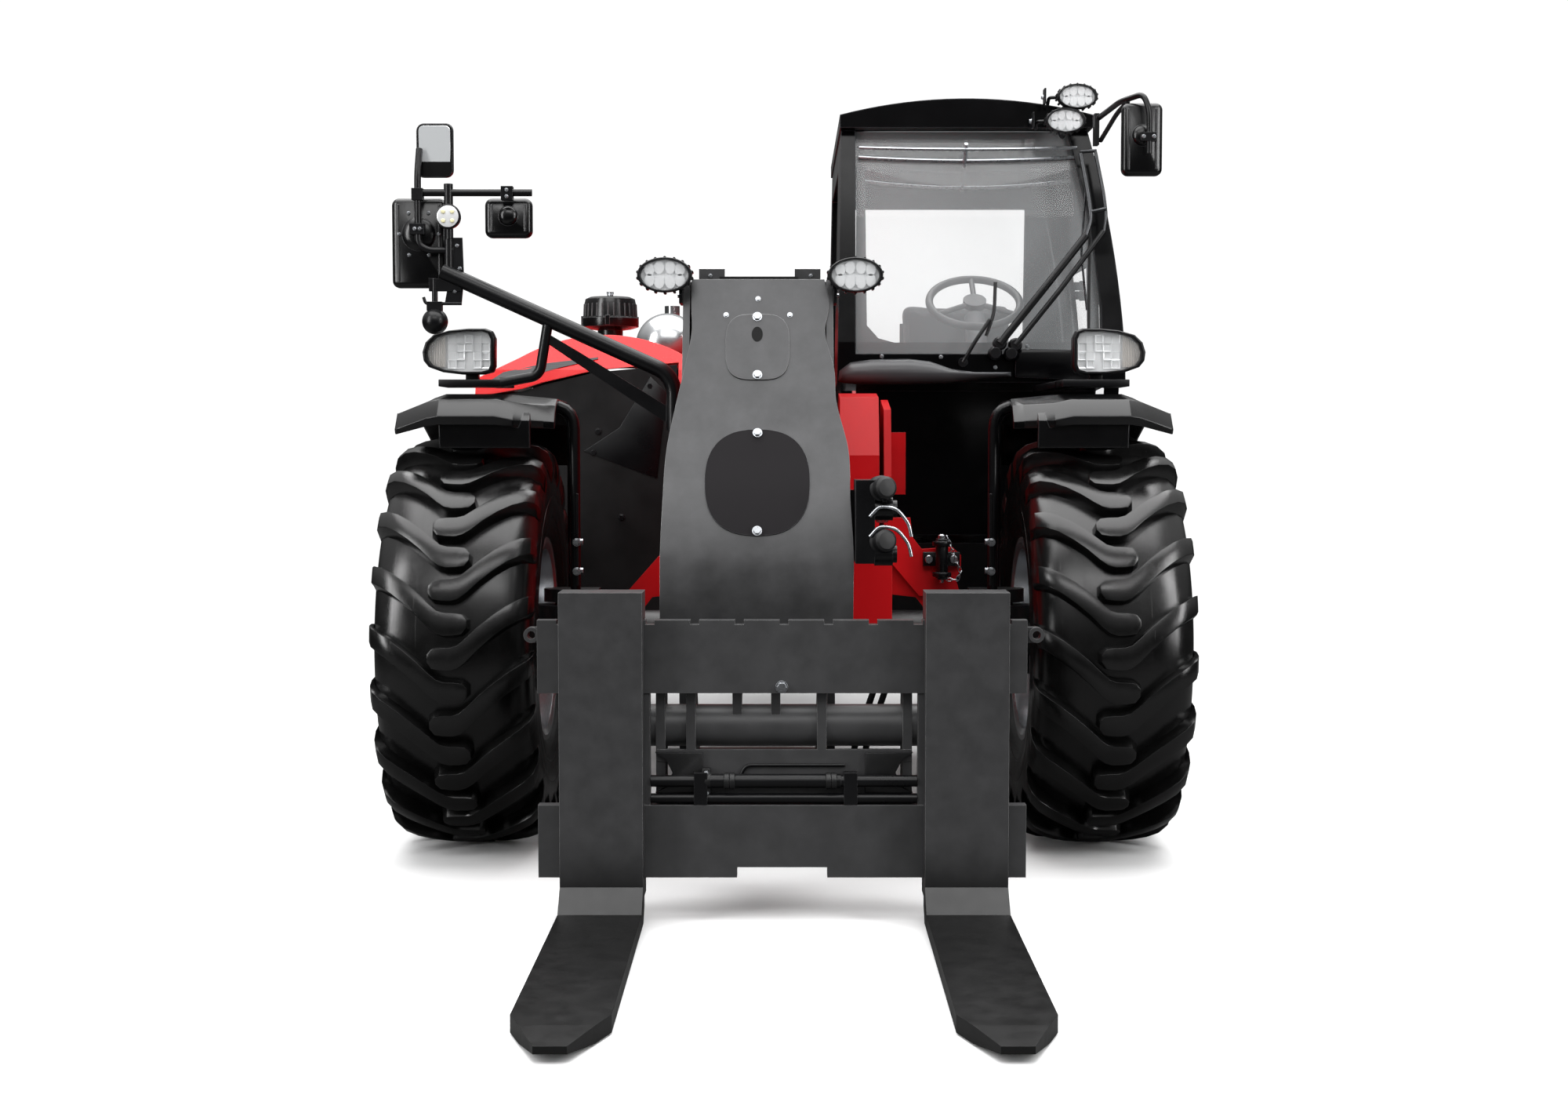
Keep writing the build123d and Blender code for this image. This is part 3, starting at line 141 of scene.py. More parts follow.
def coating(name, colour, roughness, cloud=0.10, cloud_mm=140, grain_mm=0.9, grain=0.05, metal=0.0,
            coat=0.0, edge=None, edge_mm=1.5, specular=0.5):
    """A painted, powder coated or moulded finish.

    It has broad clouds in colour and gloss, a fine grain, and an edge of edge_mm that is rounded
    and shows the edge colour: partly wear where the finish is thin, partly a painted highlight.
    """
    material, tree, shader = new_material(name)
    place = add(tree, "ShaderNodeTexCoord").outputs["Object"]
    clouds = add(tree, "ShaderNodeTexNoise",
                 {"Vector": place, "Scale": 1000 / cloud_mm, "Detail": 5, "Roughness": 0.6})
    shade = add(tree, "ShaderNodeMapRange",
                {0: clouds.outputs[0], 1: 0.3, 2: 0.7, 3: 1 - cloud, 4: 1 + cloud})
    base = add(tree, "ShaderNodeVectorMath", {0: linear(colour)[:3], "Scale": shade.outputs[0]},
               operation="SCALE")
    gloss = add(tree, "ShaderNodeMapRange",
                {0: clouds.outputs[0], 1: 0.3, 2: 0.7, 3: roughness - 0.04, 4: roughness + 0.05})
    rounded = add(tree, "ShaderNodeBevel", {"Radius": edge_mm / 1000}, samples=3)
    texture = add(tree, "ShaderNodeTexNoise", {"Vector": place, "Scale": 1000 / grain_mm, "Detail": 2})
    bump = add(tree, "ShaderNodeBump", {"Strength": grain, "Distance": 0.001, "Height": texture.outputs[0],
                                        "Normal": rounded.outputs[0]})
    final = base.outputs[0]
    # painted highlight and wear: the edge colour is mixed in where the rounded normal turns away from the
    # face
    if edge:
        facing = add(tree, "ShaderNodeVectorMath", {0: rounded.outputs[0],
                     1: add(tree, "ShaderNodeNewGeometry").outputs["Normal"]}, operation="DOT_PRODUCT")
        worn_and_highlit_edge = add(tree, "ShaderNodeMapRange",
                   {0: facing.outputs["Value"], 1: 0.985, 2: 0.90, 3: 0.0, 4: 1.0})
        mix = add(tree, "ShaderNodeMix", {0: worn_and_highlit_edge.outputs[0], 6: final, 7: linear(edge)}, data_type="RGBA")
        final = mix.outputs[2]
    tree.links.new(final, shader.inputs["Base Color"])
    tree.links.new(gloss.outputs[0], shader.inputs["Roughness"])
    tree.links.new(bump.outputs[0], shader.inputs["Normal"])
    shader.inputs["Metallic"].default_value = metal
    shader.inputs["Specular IOR Level"].default_value = specular
    shader.inputs["Coat Weight"].default_value = coat
    shader.inputs["Coat Roughness"].default_value = 0.12
    return material


def dress(material, *names):
    """Gives CAD nodes their finish."""
    for name in names:
        cad[name].data.materials.clear()
        cad[name].data.materials.append(material)


# two pack chassis paint: deep red, a low orange peel, paler on its edges: partly thin film, partly a painted
# highlight
frame_red = coating("frame_red_paint", "#bb0911", 0.34, cloud=0.06, grain_mm=4, grain=0.04, edge="#dc4442",
                    specular=0.35)
# sand cast iron under grey primer: coarse grain and dull
cast_grey = coating("cast_iron_paint", "#26272a", 0.5, cloud=0.14, cloud_mm=60, grain_mm=2.5, grain=0.35,
                    edge="#4a4a4c")
# black powder coat on steel: satin, with a fine even texture
black_coat = coating("black_powder_coat", "#08080a", 0.3, grain_mm=1.2, grain=0.08, edge="#3a3a3c",
                     edge_mm=2, specular=0.35)
dress(frame_red, "main_frame")
dress(cast_grey, "rear_counterweight")
dress(black_coat, "rear_tow_hitch", "fuel_tank")


def applied(piece):
    """The piece's mesh as its modifiers leave it. They are taken off the piece."""
    bpy.context.view_layer.update()
    made = bpy.data.meshes.new_from_object(piece.evaluated_get(bpy.context.evaluated_depsgraph_get()))
    piece.modifiers.clear()
    return made


def shape(name, parts, material, body, smooth=32, bevel=0.0, stands_for=()):
    """One finished piece out of (vertices, faces) parts, on its body."""
    vertices, faces = [], []
    for points, polygons in parts:
        offset = len(vertices)
        vertices += [tuple(p) for p in points]
        faces += [[i + offset for i in polygon] for polygon in polygons]
    mesh = bpy.data.meshes.new(name)
    mesh.from_pydata(vertices, [], faces)
    work = bmesh.new()
    work.from_mesh(mesh)
    bmesh.ops.remove_doubles(work, verts=work.verts, dist=1e-6)
    bmesh.ops.recalc_face_normals(work, faces=work.faces)
    work.to_mesh(mesh)
    work.free()
    piece = bpy.data.objects.new(name, mesh)
    scene.collection.objects.link(piece)
    if bevel:
        edge = piece.modifiers.new("bevel", "BEVEL")
        edge.width, edge.segments, edge.limit_method, edge.angle_limit = bevel, 2, "ANGLE", math.radians(30)
        piece.data = applied(piece)
    piece.data.shade_smooth()
    piece.data.set_sharp_from_angle(angle=math.radians(smooth))
    piece.data.materials.clear()
    piece.data.materials.append(material)
    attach(piece, body)
    if stands_for:
        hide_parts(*stands_for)
    return piece


def slab(low, high):
    """A block between two corners."""
    (x0, y0, z0), (x1, y1, z1) = low, high
    points = [(x, y, z) for z in (z0, z1) for y in (y0, y1) for x in (x0, x1)]
    return points, [(0, 2, 3, 1), (4, 5, 7, 6), (0, 1, 5, 4), (2, 6, 7, 3), (0, 4, 6, 2), (1, 3, 7, 5)]


def cut_sheet(outline, y0, y1):
    """A closed (x, z) outline as a plate from y0 to y1."""
    count = len(outline)
    points = [(x, y, z) for y in (y0, y1) for x, z in outline]
    sides = [(i, (i + 1) % count, (i + 1) % count + count, i + count) for i in range(count)]
    return points, sides + [list(range(count)), list(range(count, 2 * count))]


def turned(profile, centre, axis, sides=32):
    """A (radius, along) profile turned about an axis through centre. Ends on the axis are closed."""
    axis = Vector(axis).normalized()
    across = axis.orthogonal().normalized()
    other = axis.cross(across)
    points, faces = [], []
    for radius, along in profile:
        for i in range(sides):
            a = 2 * math.pi * i / sides
            points.append(Vector(centre) + axis * along
                          + (across * math.cos(a) + other * math.sin(a)) * radius)
    for k in range(len(profile) - 1):
        for i in range(sides):
            j = (i + 1) % sides
            faces.append((k * sides + i, k * sides + j, (k + 1) * sides + j, (k + 1) * sides + i))
    faces += [list(range(sides)), list(range((len(profile) - 1) * sides, len(profile) * sides))]
    return points, faces


def bent_bar(route, radius, bend=0.03, sides=12):
    """A round bar along straight runs whose corners are rounded."""
    route = [Vector(p) for p in route]
    path = [route[0]]
    for before, corner, after in zip(route, route[1:], route[2:]):
        reach = min(bend, (before - corner).length * 0.45, (after - corner).length * 0.45)
        a, b = corner + (before - corner).normalized() * reach, corner + (after - corner).normalized() * reach
        path += [a.lerp(corner, t).lerp(corner.lerp(b, t), t) for t in (0, 0.2, 0.4, 0.6, 0.8, 1)]
    path.append(route[-1])
    points, faces = [], []
    side = (path[1] - path[0]).orthogonal().normalized()
    for i, place in enumerate(path):
        along = (path[min(i + 1, len(path) - 1)] - path[max(i - 1, 0)]).normalized()
        side = (side - along * side.dot(along)).normalized()
        up = along.cross(side)
        points += [place
                   + (side * math.cos(2 * math.pi * k / sides)
                      + up * math.sin(2 * math.pi * k / sides)) * radius for k in range(sides)]
    for i in range(len(path) - 1):
        for k in range(sides):
            j = (k + 1) % sides
            faces.append((i * sides + k, i * sides + j, (i + 1) * sides + j, (i + 1) * sides + k))
    last = (len(path) - 1) * sides
    return points, faces + [list(range(sides)), list(range(last, last + sides))]


def copying_tree(name, number, kind):
    """A Geometry Nodes group that takes a mesh, one number and a finish, and its input node."""
    group = bpy.data.node_groups.new(name, "GeometryNodeTree")
    for label, socket, way in (("Geometry", "NodeSocketGeometry", "INPUT"), (number, kind, "INPUT"),
                               ("Finish", "NodeSocketMaterial", "INPUT"),
                               ("Geometry", "NodeSocketGeometry", "OUTPUT")):
        group.interface.new_socket(label, in_out=way, socket_type=socket)
    return group, add(group, "NodeGroupInput")


def place_copies(group, start, points, piece, turn):
    """Ends a group: real copies of the piece on the points, all in the finish."""
    copies = add(group, "GeometryNodeInstanceOnPoints",
                 {"Points": points, "Instance": piece, "Rotation": turn})
    real = add(group, "GeometryNodeRealizeInstances", {0: copies.outputs[0]})
    painted = add(group, "GeometryNodeSetMaterial",
                  {"Geometry": real.outputs[0], "Material": start.outputs["Finish"]})
    add(group, "NodeGroupOutput", {0: painted.outputs[0]})
    return group


def fastener_tree():
    """Puts a washer and a hexagon head on every point, turned to the point's facing."""
    group, start = copying_tree("hex_bolts", "Head width", "NodeSocketFloat")
    facing = add(group, "GeometryNodeInputNamedAttribute", {"Name": "facing"}, data_type="FLOAT_VECTOR")
    turn = add(group, "FunctionNodeAlignRotationToVector", {"Vector": facing.outputs["Attribute"]}, axis="Z")
    pieces = add(group, "GeometryNodeJoinGeometry")
    # the head and the washer: sides, then radius, height and lift as shares of the head's width
    for sides, *shares in ((6, 0.5, 0.42, 0.31), (24, 0.66, 0.12, 0.06)):
        radius, depth, lift = (add(group, "ShaderNodeMath", {0: start.outputs["Head width"], 1: share},
                                   operation="MULTIPLY").outputs[0] for share in shares)
        disc = add(group, "GeometryNodeMeshCylinder", {"Vertices": sides, "Radius": radius, "Depth": depth})
        raised = add(group, "ShaderNodeCombineXYZ", {"Z": lift})
        moved = add(group, "GeometryNodeTransform",
                    {"Geometry": disc.outputs["Mesh"], "Translation": raised.outputs[0]})
        group.links.new(moved.outputs[0], pieces.inputs[0])
    return place_copies(group, start, start.outputs["Geometry"], pieces.outputs[0], turn.outputs[0])


hex_bolts = fastener_tree()


def settle(piece, tree, values, body):
    """Runs a Geometry Nodes tree on a piece, and keeps its result as a plain mesh on the body."""
    modifier = piece.modifiers.new(tree.name, "NODES")
    modifier.node_group = tree
    for item in tree.interface.items_tree:
        if item.in_out == "INPUT" and item.name in values:
            modifier[item.identifier] = values[item.name]
    piece.data = applied(piece)
    piece.data.shade_smooth()
    piece.data.set_sharp_from_angle(angle=math.radians(32))
    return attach(piece, body)


def bolts(name, body, places, width, material):
    """Hexagon heads of that width at (point, facing) places."""
    mesh = bpy.data.meshes.new(name)
    mesh.from_pydata([p for p, _ in places], [], [])
    facing = mesh.attributes.new("facing", "FLOAT_VECTOR", "POINT")
    for i, (_, way) in enumerate(places):
        facing.data[i].vector = way
    piece = bpy.data.objects.new(name, mesh)
    scene.collection.objects.link(piece)
    return settle(piece, hex_bolts, {"Head width": width, "Finish": material}, body)


# zinc plated steel: bright, slightly blue grey, faint marks from the plating bath
zinc = coating("zinc_plate", "#b9bcc0", 0.28, cloud=0.12, cloud_mm=12, grain_mm=0.8, grain=0.1, metal=1.0)
front = Vector((0, -1, 0))
bolts("frame_bolts", "chassis", [((0.331, y, z), (1, 0, 0)) for y in (-0.5, -0.3) for z in (1.05, 1.25)]
      + [((-0.331, y, z), (-1, 0, 0)) for y in (-0.9, -0.6, -0.3) for z in (1.02, 1.20)], 0.024, zinc)

# The towing clevis is a black forging on two bright bolts. Its drop pin hangs on a safety chain.
pin_x, pin_y, pin_z = 0.497, -0.930, 0.926
clevis = [slab((0.440, -0.905, 0.902), (0.556, -0.880, 0.946)),
          slab((0.482, -0.955, 0.976), (0.512, -0.880, 0.990)),
          slab((0.482, -0.955, 0.862), (0.512, -0.880, 0.876)),
          turned([(0.02, -0.06), (0.02, 0.06)], (pin_x, pin_y, pin_z), (0, 0, 1), 20)]
clevis += [turned([(0.030, 0.0), (0.030, 0.014)], (pin_x, pin_y, z), (0, 0, 1), 24) for z in (0.968, 0.870)]
shape("towing_clevis", clevis, black_coat, "chassis", bevel=0.002)
pins = [turned([(0.013, 0.0), (0.013, 0.012), (0.011, 0.014)], (x, -0.905, 0.924), (0, -1, 0), 28)
        for x in (0.458, 0.536)]
drop_pin = [(0.007, -0.075), (0.007, 0.062), (0.012, 0.064), (0.012, 0.074), (0.006, 0.078)]
pins.append(turned(drop_pin, (pin_x, pin_y, pin_z), (0, 0, 1), 20))
shape("clevis_pins", pins, zinc, "chassis")


def chain(name, route, count, wire, body):
    """Welded links hung along a route: each is an oval ring, turned a right angle from the last."""
    path = [Vector(p) for p in route]
    spans = [(b - a).length for a, b in zip(path, path[1:])]
    total, links = sum(spans), []
    for i in range(count):
        want, k = total * (i + 0.5) / count, 0
        while k < len(spans) - 1 and want > spans[k]:
            want -= spans[k]
            k += 1
        along = (path[k + 1] - path[k]).normalized()
        centre = path[k] + along * want
        across = along.cross(Vector((0, 1, 0))).normalized()
        flat = across if i % 2 else along.cross(across)
        half, wide = total / count * 0.72, total / count * 0.34
        oval_path = [centre + along * half * math.cos(a) + flat * wide * math.sin(a)
                     for a in [2 * math.pi * k / 14 for k in range(15)]]
        links.append(bent_bar(oval_path, wire, 0.002, 6))
    return shape(name, links, zinc, body, smooth=60)


chain("clevis_chain",
      [(0.512, -0.940, 0.998), (0.530, -0.945, 0.950), (0.556, -0.945, 0.885), (0.545, -0.945, 0.862),
       (0.520, -0.945, 0.862), (0.500, -0.945, 0.872)], 13, 0.0016, "chassis")

# ---- Axles, knuckles and steering ------------------------------------------------------------
# Drive axles with a cast centre housing, forged knuckles on kingpins and a steering cylinder
# whose rod runs right through. Castings are painted black, and the rod is hard chromed.
axle_paint = coating("axle_black_paint", "#111112", 0.4, cloud=0.15, cloud_mm=50, grain_mm=3, grain=0.3,
                     edge="#38383a")
# ground and hard chromed bar: near mirror, with the finest turning marks along it
chrome, tree, shader = new_material("hard_chrome")
place = add(tree, "ShaderNodeTexCoord").outputs["Object"]
marks = add(tree, "ShaderNodeTexNoise", {"Vector": place, "Scale": 700, "Detail": 2})
gloss = add(tree, "ShaderNodeMapRange", {0: marks.outputs[0], 3: 0.07, 4: 0.16})
shader.inputs["Base Color"].default_value = linear("#d9dbdd")
shader.inputs["Metallic"].default_value = 1.0
tree.links.new(gloss.outputs[0], shader.inputs["Roughness"])
dress(axle_paint, "front_axle", "rear_axle",
      *[f"{e}_{s}_knuckle" for e in ("front", "rear") for s in ("left", "right")])
dress(chrome, "front_steering_rod", "rear_steering_rod")

# ---- Wheels ----------------------------------------------------------------------------------
# Pressed and welded steel rims with a bolted disc, painted silver. The tyres are radial traction
# tyres: a smooth carcass with deep hooked lugs moulded in two rows, half a pitch apart.
rim_silver = coating("rim_silver_paint", "#c4c6c9", 0.22, cloud=0.04, grain_mm=1.5, grain=0.03, metal=0.85,
                     coat=0.5, edge="#e4e5e7", edge_mm=3)
tyre_radius, tyre_skin, lug_count = 0.655, 0.012, 20
axle_height, wheel_x = tyre_radius, 0.99
axle_ends = (("front", -0.73, 1), ("rear", 2.12, -1))
hands = (("left", 1), ("right", -1))
carcass = [(0.0, 0.614), (0.06, 0.613), (0.12, 0.608), (0.17, 0.598), (0.205, 0.582), (0.228, 0.556),
           (0.2385, 0.52), (0.241, 0.47), (0.240, 0.44), (0.234, 0.405), (0.2355, 0.398), (0.226, 0.372),
           (0.2275, 0.365), (0.217, 0.343), (0.2185, 0.336), (0.214, 0.331), (0.205, 0.306)]
# one lug of the left row, from its nose: (across the tyre, top radius, base radius, upper and lower
# edge along the tread). Its walls lean out by the mould's draft.
lug = [(-0.058, 0.6545, 0.613, -0.016, 0.006), (-0.044, 0.6548, 0.613, -0.033, 0.026),
       (-0.02, 0.655, 0.613, -0.036, 0.030), (0.010, 0.655, 0.613, -0.037, 0.031),
       (0.032, 0.6546, 0.612, -0.044, 0.024), (0.055, 0.654, 0.611, -0.064, 0.006),
       (0.090, 0.652, 0.609, -0.098, -0.030), (0.130, 0.648, 0.604, -0.132, -0.066),
       (0.170, 0.641, 0.594, -0.162, -0.098), (0.205, 0.629, 0.578, -0.184, -0.122),
       (0.232, 0.606, 0.552, -0.200, -0.140), (0.2435, 0.572, 0.527, -0.212, -0.155),
       (0.2445, 0.535, 0.50, -0.222, -0.170)]
draft = 0.006


def lug_mesh():
    """One lug about the wheel's axis, at the front of the tyre."""
    points, faces = [], []
    for x, top, base, upper, lower in lug:
        base_x = x if x < 0.2 else min(x, 0.238)
        for s, radius, px in ((upper - draft, base - 0.004, base_x), (upper, top, x),
                              ((upper + lower) / 2, top + 0.0003, x), (lower, top, x),
                              (lower + draft, base - 0.004, base_x)):
            a = s / tyre_radius
            points.append((px, -radius * math.cos(a), -radius * math.sin(a)))
    for k in range(len(lug) - 1):
        for i in range(4):
            faces.append((5 * k + i, 5 * k + i + 1, 5 * k + i + 6, 5 * k + i + 5))
        faces.append((5 * k + 4, 5 * k, 5 * k + 5, 5 * k + 9))
    last = 5 * (len(lug) - 1)
    faces += [[4, 3, 2, 1, 0], [last, last + 1, last + 2, last + 3, last + 4]]
    # the nose is cut back at its foot
    for i in (0, 4):
        x, y, z = points[i]
        points[i] = (x - draft, y, z)
    return points, faces


def ring_tree():
    """Copies a piece round the X axis."""
    group, start = copying_tree("ring_of_copies", "Count", "NodeSocketInt")
    spots = add(group, "GeometryNodePoints", {"Count": start.outputs["Count"]})
    step = add(group, "ShaderNodeMath", {0: 2 * math.pi, 1: start.outputs["Count"]}, operation="DIVIDE")
    angle = add(group, "ShaderNodeMath",
                {0: add(group, "GeometryNodeInputIndex").outputs[0], 1: step.outputs[0]},
                operation="MULTIPLY")
    turn = add(group, "ShaderNodeCombineXYZ", {"X": angle.outputs[0]})
    return place_copies(group, start, spots.outputs[0], start.outputs["Geometry"], turn.outputs[0])


ring_of_copies = ring_tree()
# cured rubber: near black, semi gloss from the mould, with fine mould lines 1.2 mm wide round the carcass
rubber, tree, shader = new_material("moulded_tyre_rubber")
place = add(tree, "ShaderNodeTexCoord").outputs["Object"]
split = add(tree, "ShaderNodeSeparateXYZ", {0: place})
from_middle = add(tree, "ShaderNodeMath",
                  {0: add(tree, "ShaderNodeMath", {0: split.outputs["X"]}, operation="ABSOLUTE").outputs[0],
                   1: wheel_x}, operation="SUBTRACT")
off_centre = add(tree, "ShaderNodeMath", {0: from_middle.outputs[0]}, operation="ABSOLUTE")
lines = None
for offset in (0.098, 0.165):
    band = add(tree, "ShaderNodeMath", {0: off_centre.outputs[0], 1: offset, 2: 0.0009}, operation="COMPARE")
    lines = band if lines is None else add(tree, "ShaderNodeMath", {0: lines.outputs[0], 1: band.outputs[0]})
clouds = add(tree, "ShaderNodeTexNoise", {"Vector": place, "Scale": 12, "Detail": 6, "Roughness": 0.65})
pores = add(tree, "ShaderNodeTexNoise", {"Vector": place, "Scale": 450, "Detail": 2})
relief = add(tree, "ShaderNodeMath", {0: lines.outputs[0], 1: 0.5, 2: pores.outputs[0]},
             operation="MULTIPLY_ADD")
rounded = add(tree, "ShaderNodeBevel", {"Radius": 0.0015}, samples=3)
bump = add(tree, "ShaderNodeBump",
           {"Strength": 0.22, "Distance": 0.0012, "Height": relief.outputs[0],
            "Normal": rounded.outputs[0]})
gloss = add(tree, "ShaderNodeMapRange", {0: clouds.outputs[0], 1: 0.3, 2: 0.7, 3: 0.11, 4: 0.25})
tint = add(tree, "ShaderNodeMapRange", {0: clouds.outputs[0], 1: 0.3, 2: 0.7, 3: 0.0035, 4: 0.0065})
tree.links.new(add(tree, "ShaderNodeCombineColor",
                   {0: tint.outputs[0], 1: tint.outputs[0], 2: tint.outputs[0]}).outputs[0],
               shader.inputs["Base Color"])
tree.links.new(gloss.outputs[0], shader.inputs["Roughness"])
tree.links.new(bump.outputs[0], shader.inputs["Normal"])

around, half_pitch = 120, math.pi / lug_count
nut_count, nut_circle, disc_face = 10, 0.2, 0.047
for end, wheel_y, _ in axle_ends:
    for side, sign in hands:
        where = Vector((sign * wheel_x, wheel_y, axle_height))
        body = f"wheel_{end}_{side}"
        ring = [(-x, r) for x, r in carcass[:0:-1]] + carcass
        points, faces = turned([(r, x) for x, r in ring] + [(r - tyre_skin, x) for x, r in ring[::-1]],
                               where, (1, 0, 0), around)
        # the turned skin is open: its last ring closes onto its first
        last = (2 * len(ring) - 1) * around
        skin = points, [f for f in faces if len(f) == 4] + [
            (i, (i + 1) % around, last + (i + 1) % around, last + i) for i in range(around)]
        shape(f"{end}_{side}_carcass", [skin], rubber, body, smooth=50,
                     stands_for=[f"{end}_{side}_tyre"])
        points, faces = lug_mesh()
        other = [(-x, y * math.cos(half_pitch) - z * math.sin(half_pitch),
                  y * math.sin(half_pitch) + z * math.cos(half_pitch)) for x, y, z in points]
        rows = shape(f"{end}_{side}_lugs", [(points, faces), (other, faces)], rubber, body, bevel=0.0014)
        rows.parent = None
        settle(rows, ring_of_copies, {"Count": lug_count, "Finish": rubber}, body)
        rows.data.transform(Matrix.Translation(where))
        nuts = [((where.x + sign * disc_face, wheel_y + nut_circle * math.cos(a),
                  axle_height + nut_circle * math.sin(a)), (sign, 0, 0))
                for a in [2 * math.pi * k / nut_count for k in range(nut_count)]]
        bolts(f"{end}_{side}_wheel_nuts", body, nuts, 0.032, zinc)
        dress(rim_silver, f"{end}_{side}_wheel")

# ---- Fenders ---------------------------------------------------------------------------------
# Injection moulded fenders with hard facets, carried on two bent steel tubes that turn with the
# knuckle. The moulding is black with a satin grain, and its edges carry a painted highlight.
fender_plastic = coating("moulded_black_plastic", "#060607", 0.2, cloud=0.12, cloud_mm=200, grain_mm=1.0,
                         grain=0.12, edge="#4c4c4e", edge_mm=3)
# (x, front edge back, drop at the front, drop over the wheel) from the outer wing to the inner edge
fender_ribs = [(1.198, 0.045, 0.070, 0.060), (1.192, 0.030, 0.072, 0.060), (1.095, 0.012, 0.010, 0.012),
               (1.06, 0.0, 0.0, 0.0), (0.885, 0.0, 0.0, 0.0), (0.83, 0.006, 0.020, 0.004),
               (0.745, 0.075, 0.026, 0.012), (0.711, 0.085, 0.030, 0.016)]


def lofted(rings):
    """Skin through rings of equally many points, closed at both ends."""
    count = len(rings[0])
    points = [p for ring in rings for p in ring]
    faces = [(i * count + k, i * count + (k + 1) % count, (i + 1) * count + (k + 1) % count,
              (i + 1) * count + k) for i in range(len(rings) - 1) for k in range(count)]
    return points, faces + [list(range(count)), list(range(len(points) - count, len(points)))]


fender_liner = [(-0.345, 1.36), (-0.335, 1.275), (-0.315, 1.275), (-0.32, 1.385)]


def fender_ring(x, back, front_drop, drop):
    """The arch's section at x as (x, y, z), measured from the axle: along its top and back under it."""
    top = [(0.43, 1.215), (0.30, 1.378 - drop), (0.12, 1.438 - drop), (-0.19, 1.444 - drop),
           (-0.325 + back, 1.425 - front_drop * 0.6), (-0.371 + back, 1.372 - front_drop * 0.55),
           (-0.360 + back, 1.345 - front_drop * 0.4)]
    under = [(-0.340 + back, 1.352 - front_drop * 0.4), (-0.31 + back, 1.402 - front_drop * 0.6),
             (-0.19, 1.426 - drop), (0.115, 1.42 - drop), (0.288, 1.362 - drop), (0.414, 1.212)]
    return [(x, y, z) for y, z in top + under]


for end, axle_y, way in axle_ends:
    for side, sign in hands:
        def placed(points):
            """Points of the left front corner, turned to this one."""
            return [(sign * x, axle_y + way * y, z) for x, y, z in points]

        arch = lofted([placed(fender_ring(*rib)) for rib in fender_ribs])
        liner = lofted([placed([(x, y, z) for y, z in fender_liner]) for x in (1.06, 0.78)])
        body = f"steer_{end}_{side}"
        shape(f"{end}_{side}_fender_shell", [arch, liner], fender_plastic, body, smooth=18, bevel=0.003,
              stands_for=[f"{end}_{side}_fender"])
        legs = [bent_bar(placed([(0.88, y, 1.409), (x, y, 1.409), (x, y, 0.737), (0.74, y * 0.25, 0.737)]),
                         0.0165, 0.075, 16) for x, y in ((0.662, -0.150), (0.700, 0.130))]
        strap = [placed(slab((0.650, -0.172, 0.84), (0.656, -0.128, 1.13))[0]), slab((0, 0, 0), (1, 1, 1))[1]]
        shape(f"{end}_{side}_fender_tubes", legs + [strap], black_coat, body)
        bolts(f"{end}_{side}_strap_bolts", body,
              [((sign * 0.656, axle_y - way * 0.170, z), (0, -way, 0)) for z in (0.977, 0.885)]
              + [((sign * 0.648, axle_y - way * 0.15, z), (-sign, 0, 0)) for z in (0.977, 0.885)], 0.020,
              zinc)

# ---- Engine side -----------------------------------------------------------------------------
# The hood is one laminated moulding in bright red gel coat, hinged at its rear over a black sheet
# steel tray. Pre-cleaner, silencer and engine sit in and behind it.
hood_red = coating("hood_gel_coat", "#cf0a10", 0.24, cloud=0.03, grain_mm=6, grain=0.03, edge="#f0504c",
                   edge_mm=6, specular=0.3)
sheet_black = coating("black_sheet_steel", "#0a0a0b", 0.38, cloud=0.2, cloud_mm=120, grain_mm=1.2,
                      grain=0.08, edge="#2c2c2e")
engine_grey = coating("engine_paint", "#3a3c3f", 0.5, cloud=0.2, cloud_mm=40, grain_mm=3, grain=0.3)
# rolled stainless sheet: bright, brushed round the drum
stainless = coating("rolled_stainless", "#c9cbcd", 0.2, cloud=0.06, cloud_mm=80, grain_mm=0.6, grain=0.04,
                    metal=1.0)
dress(hood_red, "engine_hood")
dress(sheet_black, "engine_bay")
dress(engine_grey, "engine_block")
# perforated grille sheet let into the hood's brow: black, with round holes at 7 mm pitch, painted near black
# as painted shade of the dark bay behind them
grille, tree, shader = new_material("perforated_grille")
holes = add(tree, "ShaderNodeTexVoronoi",
            {"Vector": add(tree, "ShaderNodeTexCoord").outputs["Object"], "Scale": 140, "Randomness": 0.1})
open_part = add(tree, "ShaderNodeMapRange", {0: holes.outputs["Distance"], 1: 0.28, 2: 0.34, 3: 0.0, 4: 1.0})
web = add(tree, "ShaderNodeMix", {0: open_part.outputs[0], 6: linear("#020202"), 7: linear("#2b2b2d")},
          data_type="RGBA")
tree.links.new(web.outputs[2], shader.inputs["Base Color"])
shader.inputs["Roughness"].default_value = 0.4
grille_outline = [(-1.076, 1.524), (-1.036, 1.550), (-0.887, 1.583), (-0.690, 1.607), (-0.690, 1.600),
                  (-0.834, 1.566), (-0.988, 1.520)]


def first_hit(node, x, z):
    """The place where a ray from the front first meets a CAD node."""
    return cad[node].ray_cast(Vector((x, -6, z)), Vector((0, 1, 0)))[1]


